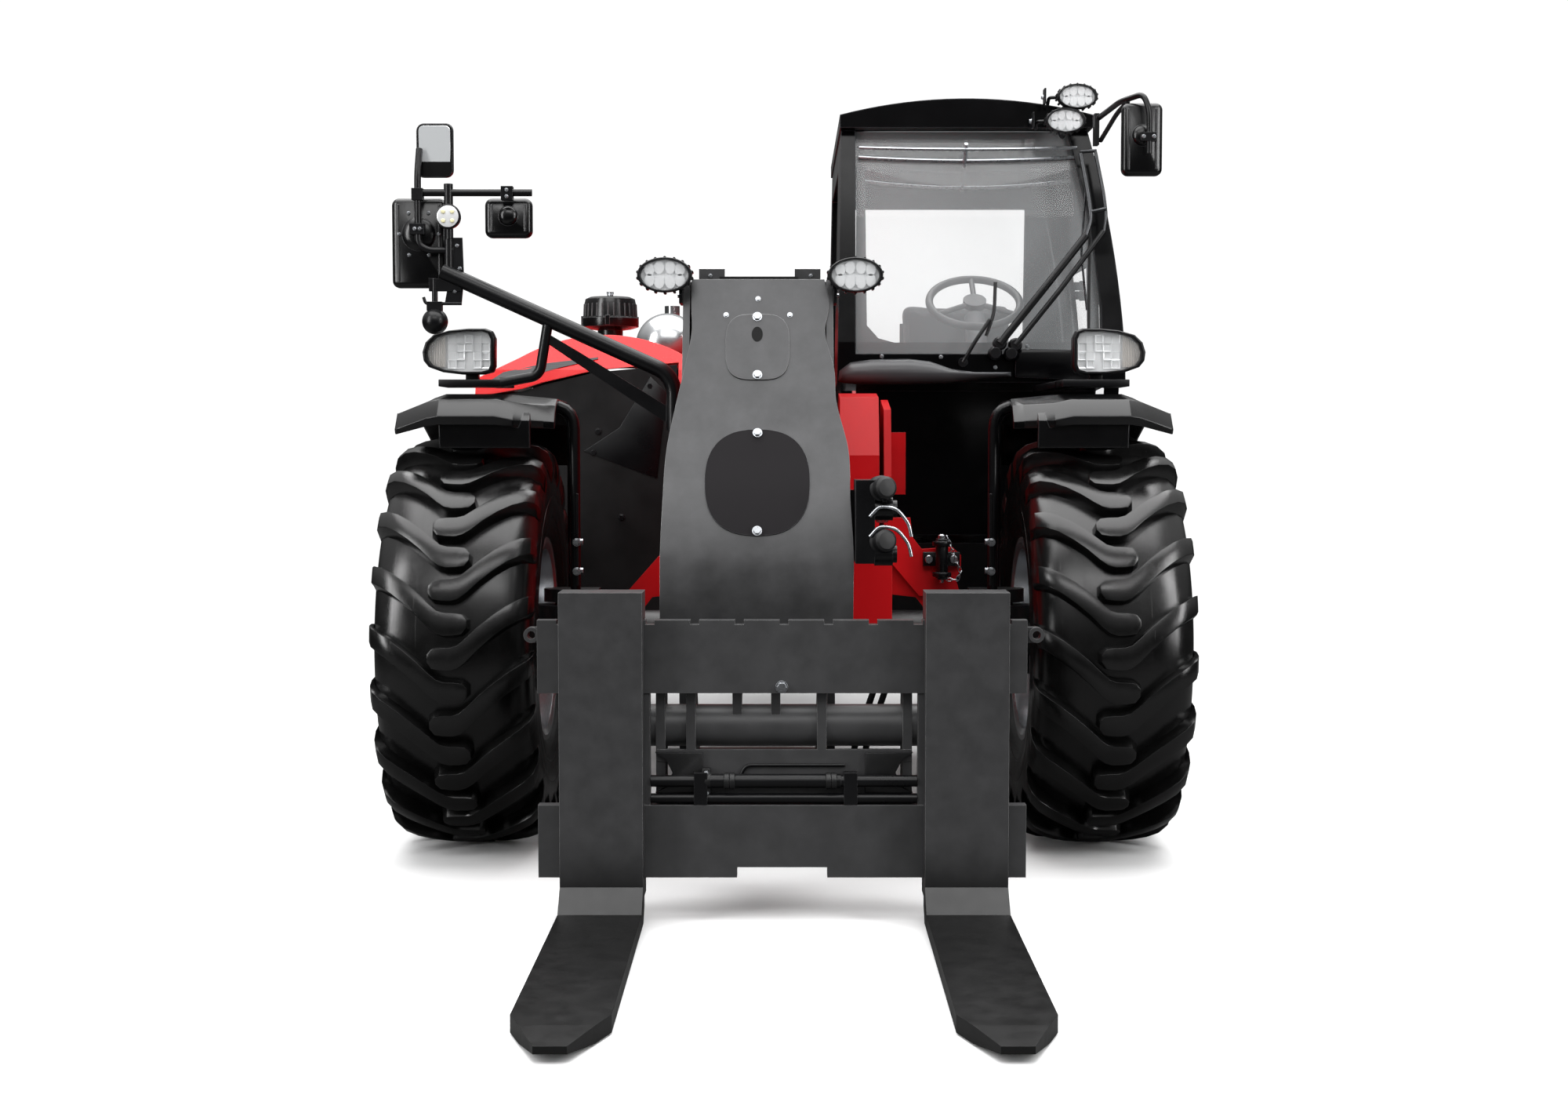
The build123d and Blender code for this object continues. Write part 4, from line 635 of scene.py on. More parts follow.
brow = [(x, first_hit("engine_hood", x, z).y, z) for x, z in grille_outline]
strip = [(x, y + deep, z) for deep in (-0.004, 0.001) for x, y, z in brow]
rim = len(grille_outline)
strip_faces = [list(range(rim)), list(range(rim, 2 * rim))]
strip_faces += [(i, (i + 1) % rim, (i + 1) % rim + rim, i + rim) for i in range(rim)]
shape("hood_grille", [(strip, strip_faces)], grille, "hood")
panel_y = first_hit("engine_bay", -0.7, 1.2).y
panel_holes = ((-0.688, 1.331), (-0.496, 1.500), (-0.706, 1.254), (-0.603, 1.013))
bolts("panel_bolts", "chassis", [((x, panel_y, z), front) for x, z in panel_holes], 0.020, black_coat)
shape("panel_bracket",
      [cut_sheet([(-0.741, 1.259), (-0.609, 1.346), (-0.493, 1.534), (-0.435, 1.476), (-0.471, 1.157)],
                 panel_y - 0.006, panel_y)], black_coat, "chassis", bevel=0.002)
shape("bay_tube",
      [bent_bar([(-0.96, panel_y - 0.05, 0.60), (-0.96, panel_y - 0.05, 1.30),
                 (-0.80, panel_y - 0.03, 1.40)], 0.02, 0.08)], black_coat, "chassis")

# the pre-cleaner's drum has a lipped skirt, 28 ribs round it and a wing nut on its domed lid
(x0, y0, _), (x1, y1, top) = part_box("air_precleaner")
px, py = (x0 + x1) / 2, (y0 + y1) / 2
drum = [(0.050, -0.20), (0.050, -0.135), (0.085, -0.13), (0.112, -0.122), (0.114, -0.108), (0.114, -0.088),
        (0.106, -0.084), (0.102, -0.030), (0.098, -0.012), (0.080, -0.004), (0.020, 0.0)]


def on_drum(radius, angle, below):
    """A place round the drum's axis, below its lid."""
    return px + radius * math.cos(angle), py + radius * math.sin(angle), top - below


ribs = [bent_bar([on_drum(0.106, a, 0.082), on_drum(0.1035, a, 0.032)], 0.0022, sides=6)
        for a in [2 * math.pi * k / 28 for k in range(28)]]
clips = []
for a in (0.3, 2.0, 3.4, 4.7):
    x, y, z = on_drum(0.108, a, 0.118)
    clips.append(slab((x - 0.008, y - 0.008, z), (x + 0.008, y + 0.008, z + 0.038)))
shape("precleaner_drum", [turned(drum, (px, py, top), (0, 0, 1), 56)] + ribs + clips, fender_plastic,
      "hood", smooth=35, stands_for=["air_precleaner"])
shape("precleaner_nut",
      [turned([(0.012, 0.0), (0.012, 0.008), (0.005, 0.010), (0.005, 0.018)], (px, py, top), (0, 0, 1), 16),
       slab((px - 0.014, py - 0.002, top + 0.008), (px + 0.014, py + 0.002, top + 0.018))], zinc, "hood")

# the silencer is a big drum of rolled sheet with a domed end and pressed rings
(sx0, sy0, sz0), (sx1, sy1, _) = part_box("exhaust_silencer")
smid, srad, drum_z = (sx0 + sx1) / 2, 0.135, sz0 + 0.112
shell = [(0.02, -0.012), (0.07, -0.004), (0.115, 0.02), (srad, 0.055)]
for k in range(5):
    y = 0.11 + k * 0.08
    shell += [(srad, y - 0.012), (srad + 0.004, y - 0.006), (srad + 0.004, y + 0.006), (srad, y + 0.012)]
shell += [(srad, 0.47), (0.11, 0.495), (0.02, 0.5)]
shape("silencer_drum", [turned(shell, (smid, sy0, drum_z), (0, 1, 0), 64)], stainless, "chassis", smooth=35,
      stands_for=["exhaust_silencer"])
shape("silencer_outlet",
      [turned([(0.034, 0.10), (0.034, 0.245), (0.031, 0.245), (0.031, 0.11)],
              (smid, sy1 - 0.04, sz0 + 0.06), (0, 0, 1), 32)], stainless, "chassis", smooth=40)

# ---- Boom and head ---------------------------------------------------------------------------
# Two telescoping box sections fabricated from steel plate. The head at the front carries the
# carriage, and its rolled cover plate is powder coated in a cloudy dark grey.
# its edges are painted near white: a painted highlight, and partly worn coat
boom_grey = coating("grey_powder_coat", "#4c4c4d", 0.36, cloud=0.20, cloud_mm=110, grain_mm=1.0, grain=0.08,
                    metal=0.55, edge="#c4c4c4", edge_mm=1.3)
dress(boom_grey, "boom_head", "inner_boom")
dress(frame_red, "outer_boom")
dress(black_coat, "tilt_cylinder_barrel", "lift_cylinder_barrel")
dress(chrome, "tilt_cylinder_rod", "lift_cylinder_rod")


# (height, place of the face, half widths right and left of the boom's middle) down the rolled cover
cover = [(1.765, -1.385, 0.193, 0.192), (1.690, -1.4083, 0.193, 0.206), (1.610, -1.4338, 0.191, 0.193),
         (1.500, -1.475, 0.211, 0.219), (1.410, -1.5093, 0.231, 0.224), (1.270, -1.5688, 0.257, 0.257),
         (1.130, -1.6266, 0.265, 0.261), (0.980, -1.6721, 0.270, 0.269), (0.880, -1.685, 0.270, 0.268),
         (0.770, -1.686, 0.270, 0.267)]
boom_x = -0.075


def on_cover(z):
    """(face, right half width, left half width) at a height: a smooth curve through the rows above."""
    z = max(cover[-1][0], min(cover[0][0], z))
    k = next(i for i in range(len(cover) - 1) if z >= cover[i + 1][0])
    a, b = cover[k], cover[k + 1]
    before, after = cover[max(k - 1, 0)], cover[min(k + 2, len(cover) - 1)]
    u = (z - a[0]) / (b[0] - a[0])
    found = []
    for c in (1, 2, 3):
        m0 = (b[c] - before[c]) / (b[0] - before[0]) * (b[0] - a[0])
        m1 = (after[c] - a[c]) / (after[0] - a[0]) * (b[0] - a[0])
        found.append((2 * u ** 3 - 3 * u ** 2 + 1) * a[c] + (u ** 3 - 2 * u ** 2 + u) * m0
                     + (3 * u ** 2 - 2 * u ** 3) * b[c] + (u ** 3 - u ** 2) * m1)
    return found


def on_face(x, z, proud=0.0):
    """The place on the cover's front at (x, z), raised by proud, and its normal."""
    here, above, below = on_cover(z)[0], on_cover(z + 0.004)[0], on_cover(z - 0.004)[0]
    normal = Vector((0, -0.008, above - below)).normalized()
    return Vector((x, here, z)) + normal * proud, normal


def plate_faces(rows, columns):
    """Faces of a plate given as two grids of points: its front, then its back."""
    wide, total = columns + 1, (rows + 1) * (columns + 1)
    faces = []
    for i in range(rows):
        for k in range(columns):
            a = i * wide + k
            faces.append((a, a + 1, a + 1 + wide, a + wide))
            faces.append((total + a, total + a + wide, total + a + 1 + wide, total + a + 1))
        for a in (i * wide, i * wide + columns):
            faces.append((a, a + wide, total + a + wide, total + a))
    for a in list(range(columns)) + list(range(rows * wide, rows * wide + columns)):
        faces.append((a, a + 1, total + a + 1, total + a))
    return faces


def rolled_cover():
    """The cover plate, 12 mm thick."""
    rows, columns, foot, head = 90, 20, cover[-1][0], cover[0][0]
    points = []
    for deep in (0.0, -0.012):
        for i in range(rows + 1):
            z = foot + (head - foot) * i / rows
            _, right, left = on_cover(z)
            points += [on_face(boom_x - right + (right + left) * k / columns, z, deep)[0]
                       for k in range(columns + 1)]
    return points, plate_faces(rows, columns)


shape("rolled_cover", [rolled_cover()], boom_grey, "telescope", stands_for=["head_cover"])


def hatch(name, centre, half, power, proud, material):
    """A laser cut lid 4 mm thick that follows the rolled cover."""
    rows, columns = 26, 16
    points = []
    for lift in (proud, proud - 0.004):
        for i in range(rows + 1):
            t = -math.cos(math.pi * i / rows)
            wide = half[0] * max(0.0, 1 - abs(t) ** power) ** (1 / power)
            for k in range(columns + 1):
                x = centre[0] + max(wide, 0.012) * (2 * k / columns - 1)
                points.append(on_face(x, centre[1] + half[1] * t, lift)[0])
    return shape(name, [(points, plate_faces(rows, columns))], material, "telescope")


# the round lid is coated darker than the cover it closes
lid_grey = coating("dark_lid_coat", "#1f1d1f", 0.62, specular=0.12, cloud=0.06, cloud_mm=50, grain_mm=0.8,
                   grain=0.08, edge="#a9abad", edge_mm=1.0)
hatch("round_hatch", (-0.075, 1.181), (0.1475, 0.1475), 2.5, 0.0045, lid_grey)
hatch("upper_hatch", (-0.076, 1.566), (0.0915, 0.0955), 3.4, 0.0045, boom_grey)
hole_painted_shade, tree, shader = new_material("unlit_opening")
# painted shade: a near black disc on the cover stands for the dark inside of the head seen through a hole
shader.inputs["Base Color"].default_value = (0.001, 0.001, 0.001, 1)
shader.inputs["Roughness"].default_value = 0.9
hole = [on_face(-0.077 + 0.016 * math.cos(a), 1.602 + 0.022 * math.sin(a), 0.0052)[0]
        for a in [math.pi * k / 12 for k in range(24)]]
shape("sight_hole_painted_shade", [(hole, [list(range(24))])], hole_painted_shade, "telescope")
bolts("hatch_bolts", "telescope",
      [on_face(x, z, 0.0045) for x, z in ((-0.075, 1.318), (-0.075, 1.046), (-0.077, 1.653),
                                          (-0.076, 1.484))], 0.021, zinc)
bolts("cover_screws", "telescope", [on_face(x, z, 0.0) for x, z in
                                    ((-0.075, 1.707), (-0.167, 1.660), (0.017, 1.660))], 0.012, zinc)
shape("head_top_strip", [slab((-0.187, -1.373, 1.745), (0.041, -1.367, 1.774))], sheet_black, "telescope")
bolts("ear_screws", "telescope", [((x, -1.371, 1.776), front) for x in (-0.214, 0.078)], 0.009, zinc)


def oval(half_x, half_z, y, x=0.0, z=0.0, count=48):
    """An ellipse that faces the front, about (x, z)."""
    return [(x + half_x * math.cos(2 * math.pi * k / count), y,
             z + half_z * math.sin(2 * math.pi * k / count)) for k in range(count)]


# vacuum metallised reflector: mirror bright under the lens, a little hazy
reflector, tree, shader = new_material("metallised_reflector")
haze = add(tree, "ShaderNodeTexNoise",
           {"Vector": add(tree, "ShaderNodeTexCoord").outputs["Object"], "Scale": 160, "Detail": 3})
gloss = add(tree, "ShaderNodeMapRange", {0: haze.outputs[0], 3: 0.06, 4: 0.2})
shader.inputs["Base Color"].default_value = linear("#f4f5f6")
shader.inputs["Metallic"].default_value = 0.3
tree.links.new(gloss.outputs[0], shader.inputs["Roughness"])
# clear polycarbonate cover lens: seen only by its gloss
lens, tree, shader = new_material("clear_polycarbonate_lens")
ripple = add(tree, "ShaderNodeTexNoise",
             {"Vector": add(tree, "ShaderNodeTexCoord").outputs["Object"], "Scale": 60})
wave = add(tree, "ShaderNodeBump", {"Strength": 0.05, "Distance": 0.001, "Height": ripple.outputs[0]})
shader.inputs["Base Color"].default_value = linear("#eef2f4")
shader.inputs["Roughness"].default_value = 0.03
shader.inputs["Alpha"].default_value = 0.05
tree.links.new(wave.outputs[0], shader.inputs["Normal"])
# die chip of a lamp diode: pale yellow dot
diode = coating("diode_phosphor", "#e9e3b8", 0.4, cloud=0.05, cloud_mm=3)


def work_lamp(name, x, y, z, half_x, half_z, body, stands_for=()):
    """An oval diode lamp: finned aluminium body, bezel, eight reflector bowls and a clear lens."""
    # (share of the outline, depth behind the bezel) from the back of the case round into its mouth
    profile = ((0.45, 0.058), (0.8, 0.052), (0.97, 0.038), (1.0, 0.02), (1.0, 0.004), (0.965, 0.0),
               (0.90, 0.0), (0.86, 0.008), (0.85, 0.040))
    rings = [oval(half_x * a, half_z * a, y + d, x, z) for a, d in profile]
    fins = []
    for k in range(18):
        a = 2 * math.pi * (k + 0.5) / 18
        fx, fz = x + half_x * math.cos(a), z + half_z * math.sin(a)
        fins.append(bent_bar([(fx, y + 0.012, fz), (fx, y + 0.048, fz)], 0.0045, sides=6))
    case = shape(f"{name}_case", [lofted(rings)] + fins, black_coat, body, stands_for=stands_for)
    bowls, dots = [], []
    for u, w in ((-0.60, 0.30), (-0.22, 0.42), (0.22, 0.42), (0.60, 0.30), (-0.60, -0.30), (-0.22, -0.42),
                 (0.22, -0.42), (0.60, -0.30)):
        cx, cz = x + u * half_x * 0.92, z + w * half_z
        wide, tall = half_x * 0.185, half_z * 0.36
        bowls.append(lofted([oval(wide * a, tall * a, y + d, cx, cz, 20) for a, d in
                             ((1.0, 0.010), (0.9, 0.016), (0.62, 0.024), (0.3, 0.029))]))
        dots.append(lofted([oval(wide * 0.22, wide * 0.22, y + d, cx, cz, 12) for d in (0.0285, 0.026)]))
    plate = lofted([oval(half_x * 0.86, half_z * 0.86, y + d, x, z) for d in (0.0155, 0.0165)])
    shape(f"{name}_bowls", bowls + [plate], reflector, body)
    shape(f"{name}_diodes", dots, diode, body)
    dome = [oval(half_x * a, half_z * a, y + d, x, z)
            for a, d in ((0.88, 0.007), (0.8, 0.003), (0.5, -0.001), (0.15, -0.003))]
    shape(f"{name}_lens", [lofted(dome)], lens, body, smooth=60)
    return case


for name, x, side, replaced in (("right_boom_lamp", -0.342, -1, ["boom_work_lights"]),
                                ("left_boom_lamp", 0.205, 1, [])):
    work_lamp(name, x, -1.465, 1.772, 0.079, 0.050, "telescope", replaced)
    plate_x = boom_x + side * 0.2185
    shape(f"{name}_strap",
          [slab((min(plate_x, plate_x + side * 0.010), -1.407, 1.695),
                (max(plate_x, plate_x + side * 0.010), -1.29, 1.748)),
           slab((plate_x - 0.003, -1.409, 1.735), (plate_x + 0.003, -1.378, 1.80)),
           bent_bar([(plate_x - side * 0.004, -1.395, 1.775), (x + side * 0.066, -1.425, 1.772)], 0.006)],
          black_coat, "telescope")
    bolts(f"{name}_bolts", "telescope", [((plate_x - side * 0.012, -1.412, 1.775), (-side, 0, 0)),
                                         ((plate_x + side * 0.010, -1.35, 1.72), (side, 0, 0))], 0.013, zinc)

# ---- Hydraulic couplers on the head ----------------------------------------------------------
# Two quick couplings in a machined block, each under a rubber dust cap, with bent steel levers
# and a hard pipe down to the carriage.
dress(black_coat, "hydraulic_couplers")
moulded_rubber = coating("dust_cap_rubber", "#08080a", 0.5, cloud=0.1, cloud_mm=20, grain_mm=0.8,
                         grain=0.15, edge="#2a2a2c")
shape("coupling_caps",
      [turned([(0.012, 0.0), (0.036, 0.0), (0.036, 0.02), (0.031, 0.024), (0.031, 0.05), (0.024, 0.056),
               (0.008, 0.058)], (0.262, -1.70, z), (0.35, -0.9, 0.1), 28) for z in (1.02, 1.165)],
      moulded_rubber, "telescope")
levers = [bent_bar([(0.236, -1.730, z), (0.262, -1.738, z + 0.03), (0.31, -1.738, z + 0.022),
                    (0.343, -1.735, z - 0.02), (0.350, -1.735, z - 0.055)], 0.005, 0.02)
          for z in (1.035, 1.09)]
shape("coupling_levers", levers, zinc, "telescope")
shape("coupling_fittings",
      [turned([(0.006, 0), (0.017, 0), (0.017, 0.03), (0.012, 0.032), (0.012, 0.05)], (x, -1.69, z),
              (0, 0.3, 1), 16) for x, z in ((0.236, 1.10), (0.272, 1.075))], zinc, "telescope")
shape("coupling_pipe",
      [bent_bar([(0.268, -1.69, 1.0), (0.30, -1.66, 0.985), (0.30, -1.58, 0.985), (0.20, -1.50, 0.985)],
                0.010),
       turned([(0.008, 0), (0.016, 0), (0.016, 0.04), (0.008, 0.042)], (0.300, -1.65, 0.985), (0, 1, 0),
              16)], moulded_rubber, "telescope")

# ---- Carriage and forks ----------------------------------------------------------------------
# A class 2 carriage of flame cut plate with its fork positioner, and two forged forks. The hoses
# of the positioner loop down from the head.
carriage_grey = coating("carriage_powder_coat", "#3a3a3b", 0.42, cloud=0.13, cloud_mm=70, grain_mm=1.0,
                        grain=0.08, edge="#8c8c8c", edge_mm=1.5)
# the forks wear the same coat; on the blades it is painted near black, a painted dark reflection of the
# carriage over them
fork_black = coating("forged_fork_paint", "#39393a", 0.36, cloud=0.14, cloud_mm=60, grain_mm=1.5,
                     grain=0.08, edge="#a5a5a5", edge_mm=1.6)
tree = fork_black.node_tree
shader = next(n for n in tree.nodes if n.type == "BSDF_PRINCIPLED")
height = add(tree, "ShaderNodeSeparateXYZ", {0: add(tree, "ShaderNodeTexCoord").outputs["Object"]})
# painted dark reflection: near black up to 0.05 m, fading out by 0.24 m
blade_dark_reflection = add(tree, "ShaderNodeMapRange", {0: height.outputs["Z"], 1: 0.05, 2: 0.24, 3: 1.0, 4: 0.0},
             interpolation_type="SMOOTHSTEP")
mix = add(tree, "ShaderNodeMix",
          {0: blade_dark_reflection.outputs[0], 6: shader.inputs["Base Color"].links[0].from_socket, 7: linear("#060606")},
          data_type="RGBA")
tree.links.new(mix.outputs[2], shader.inputs["Base Color"])
dress(carriage_grey, "carriage_frame")
dress(fork_black, "left_fork", "right_fork")
dress(black_coat, "fork_positioner")
# wire braided hose with a wrapped cover: matt black, with the fine marks of the wrapping cloth
hose_rubber = coating("wrapped_hose_cover", "#0b0b0c", 0.5, cloud=0.06, cloud_mm=30, grain_mm=1.5, grain=0.4)


def hose(name, route, diameter, body, stands_for=()):
    """A hydraulic hose as one open NURBS spline, with a crimped fitting at each end."""
    curve = bpy.data.curves.new(name, "CURVE")
    curve.dimensions, curve.use_fill_caps = "3D", True
    curve.bevel_depth, curve.bevel_resolution = diameter / 2, 5
    spline = curve.splines.new("NURBS")
    spline.points.add(len(route) - 1)
    for point, place in zip(spline.points, route):
        point.co = (*place, 1)
    spline.order_u, spline.use_endpoint_u = 3, True
    curve.materials.append(hose_rubber)
    line = bpy.data.objects.new(name, curve)
    scene.collection.objects.link(line)
    ends = []
    for place, beyond in ((route[0], route[1]), (route[-1], route[-2])):
        way = (Vector(beyond) - Vector(place)).normalized()
        ends.append(turned([(0.006, -0.004), (0.0125, -0.004), (0.0125, 0.010), (0.0115, 0.012),
                            (0.0115, 0.034), (0.0095, 0.036)], place, way, 18))
    fitting = shape(f"{name}_fittings", ends, zinc, body)
    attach(line, body)
    if stands_for:
        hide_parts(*stands_for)
    return line


bolts("carriage_bolt", "carriage", [((-0.006, -1.870, 0.637), front)], 0.026, zinc)
shape("positioner_clamp",
      [slab((-0.222, -1.858, 0.330), (-0.199, -1.820, 0.414)),
       turned([(0.022, -0.010), (0.022, 0.010)], (-0.205, -1.850, 0.380), (1, 0, 0), 24)], axle_paint,
      "carriage", bevel=0.003)
bolts("clamp_bolts", "carriage", [((-0.2105, -1.858, z), front) for z in (0.345, 0.40)], 0.012, zinc)
shape("positioner_pipe",
      [bent_bar([(-0.121, -1.838, 0.385), (-0.104, -1.838, 0.420), (0.165, -1.838, 0.420)], 0.005, 0.02)],
      black_coat, "carriage")
shape("positioner_rings",
      [turned([(0.0195, -0.008), (0.023, -0.006), (0.023, 0.006), (0.0195, 0.008)], (x, -1.855, 0.380),
              (1, 0, 0), 28) for x in (-0.155, -0.14, 0.12, 0.135)], axle_paint, "carriage")
for x, sign in ((-0.29, -1), (0.29, 1)):
    saddle = [(x - sign * 0.07, 0.455), (x + sign * 0.06, 0.455), (x + sign * 0.03, 0.435),
              (x + sign * 0.012, 0.40), (x + sign * 0.03, 0.36), (x + sign * 0.06, 0.345),
              (x - sign * 0.07, 0.345)]
    shape(f"guide_saddle_{'left' if sign > 0 else 'right'}", [cut_sheet(saddle, -1.845, -1.80)], axle_paint,
          "carriage", bevel=0.002)

# the hoses leave the positioner's block upward and end behind the head, in fittings
for name, x, replaced in (("left_hose", 0.182, ["carriage_hoses"]), ("right_hose", 0.214, [])):
    route = [(x, -1.742, 0.3385), (x, -1.742, 0.39), (x + 0.018, -1.696, 0.47), (x + 0.06, -1.692, 0.58),
             (x + 0.092, -1.715, 0.69)]
    hose(name, route, 0.018, "carriage", replaced)

# ---- Cab -------------------------------------------------------------------------------------
# A welded safety cab in gloss black, glazed all round, with a crowned roof lip over a barred roof
# pane. The door hangs on two outside hinges at its rear edge.
cab_black = coating("cab_gloss_black", "#050506", 0.16, cloud=0.05, grain_mm=8, grain=0.02, edge="#4a4a4e",
                    edge_mm=5, specular=0.22)
glass, tree, shader = new_material("toughened_cab_glass")
# toughened glass: clear enough to see the seat through, with a film of dust that lifts what is behind
shader.inputs["Base Color"].default_value = linear("#e4e8ea")
shader.inputs["Roughness"].default_value = 0.02
shader.inputs["Alpha"].default_value = 0.12
dress(cab_black, "cab_frame", "cab_roof", "cab_door")
dress(glass, "cab_glass", "door_glass")
shade_film, tree, shader = new_material("sun_shade_film")
# printed shade band at the head of the windscreen: near black, a seventh of the light comes through
shader.inputs["Base Color"].default_value = linear("#161718")
shader.inputs["Roughness"].default_value = 0.1
shader.inputs["Alpha"].default_value = 0.86


def behind_screen(x, z, back=0.008):
    """A place behind the windscreen, which leans back above its foot."""
    return x, -0.204 + max(0.0, z - 1.64) * 0.1477 + back, z


arc = [(0.252 + 0.79 * k / 16, 2.192 + 0.074 * (2 * k / 16 - 1) ** 2) for k in range(17)]
band = [behind_screen(x, z) for x, z in arc] + [behind_screen(x, 2.345) for x, _ in arc]
shape("sun_shade", [(band, [(k, k + 1, k + 18, k + 17) for k in range(16)])], shade_film, "chassis")
header = [behind_screen(x, z, 0.016)
          for x, z in ((0.245, 2.385), (0.245, 2.305), (1.055, 2.305), (1.055, 2.385))]
shape("header_panel", [(header, [(0, 1, 2, 3)])], cab_black, "chassis")
bars = []
for y, z, sag in ((-0.17, 2.318, 0.006), (-0.12, 2.292, 0.012), (-0.07, 2.262, 0.018), (-0.03, 2.222, 0.026)):
    bars.append(bent_bar([(0.262 + 0.76 * k / 12, y, z - sag * (1 - (2 * k / 12 - 1) ** 2))
                          for k in range(13)], 0.006, 0.02, 8))
bars.append(bent_bar([(0.635, -0.18, 2.33), (0.635, -0.02, 2.19)], 0.007))
shape("roof_guard_bars", bars, zinc, "chassis")
frit, tree, shader = new_material("ceramic_frit")
# black enamel fired on the edge of the glass: it hides the bond line
shader.inputs["Base Color"].default_value = linear("#101011")
shader.inputs["Roughness"].default_value = 0.25
# both borders run round the screen from its lower right corner, and the head has no frit
inside = [(0.29, 1.70), (0.33, 1.655), (0.385, 1.640), (1.06, 1.640), (1.06, 2.30), (0.285, 2.30)]
outside = [(0.250, 1.69), (0.252, 1.602), (0.385, 1.602), (1.104, 1.602), (1.10, 2.30), (0.256, 2.30)]
ring = [behind_screen(x, z, 0.010) for x, z in outside + inside]
shape("screen_frit", [(ring, [(k, (k + 1) % 6, (k + 1) % 6 + 6, k + 6) for k in range(6) if k != 4])], frit,
      "chassis")

cowl_grey = coating("cowl_plastic", "#3b3c3e", 0.34, cloud=0.05, grain_mm=0.8, grain=0.12, edge="#6c6d70",
                    edge_mm=6)
cowl = [(0.188, 1.505), (0.192, 1.540), (0.230, 1.568), (0.300, 1.578), (0.434, 1.580), (0.505, 1.572),
        (0.583, 1.545), (0.66, 1.535), (0.787, 1.535), (0.787, 1.520), (0.70, 1.512), (0.584, 1.497),
        (0.40, 1.492), (0.245, 1.494), (0.205, 1.498)]
centre = Vector((0.45, 0, 1.53))
# (share of the width, share of the height, y): the cowl rounds off toward its front
steps = ((1, 1, -0.228), (1, 1, -0.262), (0.985, 0.84, -0.285), (0.95, 0.5, -0.297), (0.9, 0.15, -0.300))
rings = [[(centre.x + (x - centre.x) * a, y, centre.z + (z - centre.z) * b) for x, z in cowl]
         for a, b, y in steps]
shape("front_cowl", [lofted(rings)], cowl_grey, "chassis", smooth=60)
side_panel = [(0.80, 1.515), (0.80, 1.60), (0.818, 1.615), (1.02, 1.612), (1.06, 1.59), (1.06, 1.505)]
shape("side_panel", [cut_sheet(side_panel, -0.262, -0.232)], cab_black, "chassis", bevel=0.006)
screws = ((0.340, 1.590), (0.545, 1.588), (0.735, 1.552), (0.845, 1.625))
bolts("cowl_screws", "chassis", [((x, -0.236, z), front) for x, z in screws], 0.011, zinc)

# black anodised tube: dark, and glossy along its edges
dark_chrome = coating("black_anodised_tube", "#3f4042", 0.22, cloud=0.08, cloud_mm=40, grain_mm=0.8,
                      grain=0.05, metal=0.9, coat=0.3)
# parallel arm wiper: two black arms to a dark linkage up the pillar, and the small one below
wiper_arms = [bent_bar([(0.746, -0.285, 1.633), (0.90, -0.285, 1.826), (1.041, -0.275, 2.004)], 0.0135),
              bent_bar([(0.800, -0.285, 1.628), (0.95, -0.285, 1.815), (1.103, -0.270, 2.018)], 0.0095),
              bent_bar([(0.619, -0.275, 1.568), (0.66, -0.28, 1.64), (0.712, -0.272, 1.715)], 0.007)]
pivots = [turned([(0.008, -0.05), (0.024, -0.04), (0.024, -0.01), (0.018, 0.0)], (x, -0.29, z), (0, -1, 0),
                 20) for x, z in ((0.746, 1.633), (0.800, 1.628), (0.73, 1.60), (0.785, 1.598))]
pivots.append(turned([(0.006, -0.03), (0.016, -0.02), (0.016, 0.0)], (0.619, -0.28, 1.568), (0, -1, 0), 16))
shape("wiper_arms", wiper_arms + pivots, black_coat, "chassis", smooth=40)
linkage = [bent_bar([(1.041, -0.275, 2.004), (1.060, -0.265, 2.06), (1.052, -0.25, 2.14),
                     (1.027, -0.225, 2.29)], 0.0085),
           bent_bar([(1.103, -0.270, 2.018), (1.112, -0.262, 2.07), (1.104, -0.25, 2.15),
                     (1.078, -0.225, 2.295)], 0.006),
           bent_bar([(1.060, -0.262, 2.085), (1.110, -0.262, 2.095)], 0.007),
           bent_bar([(1.024, -0.225, 2.295), (1.082, -0.225, 2.30)], 0.006),
           bent_bar([(1.045, -0.245, 2.20), (1.03, -0.235, 1.95), (1.052, -0.235, 1.75)], 0.004)]
shape("wiper_linkage", linkage, dark_chrome, "chassis", smooth=40)
shape("wiper_blades",
      [bent_bar([(0.731, -0.258, 1.845), (0.728, -0.258, 1.74), (0.700, -0.258, 1.66)], 0.006, sides=8),
       slab((1.055, -0.24, 1.68), (1.063, -0.222, 2.12))], moulded_rubber, "chassis")

for name, x, z in (("upper_cab_lamp", 1.008, 2.478), ("lower_cab_lamp", 0.968, 2.396)):
    work_lamp(name, x, -0.280, z, 0.069, 0.0425, "chassis",
              ["cab_work_lights"] if z > 2.4 else [])
    shape(f"{name}_bracket",
          [bent_bar([(x - 0.068, -0.245, z), (x - 0.095, -0.245, z), (x - 0.095, -0.21, z - 0.02)], 0.006),
           slab((x - 0.112, -0.262, z - 0.022), (x - 0.106, -0.215, z + 0.03)),
           bent_bar([(x, -0.235, z - 0.03), (x, -0.20, z - 0.05), (x - 0.01, -0.15, 2.385)], 0.008)],
          black_coat, "chassis")
    bolts(f"{name}_bolts", "chassis", [((x - 0.115, -0.25, z), (-1, 0, 0))], 0.014, zinc)

# ---- Inside the cab --------------------------------------------------------------------------
# The driver's seat has foam cushions under woven cloth, bolted to a moulded pan. Console, column
# and steering wheel are grey moulded plastic and soft grip polyurethane.
console = coating("console_plastic", "#57585a", 0.5, grain_mm=0.8, grain=0.2, edge="#77787a")
grip = coating("grip_polyurethane", "#232426", 0.45, cloud=0.06, grain_mm=0.8, grain=0.2)
dress(console, "dashboard", "operator_seat")
dress(grip, "steering_wheel")
cloth, tree, shader = new_material("woven_seat_cloth")
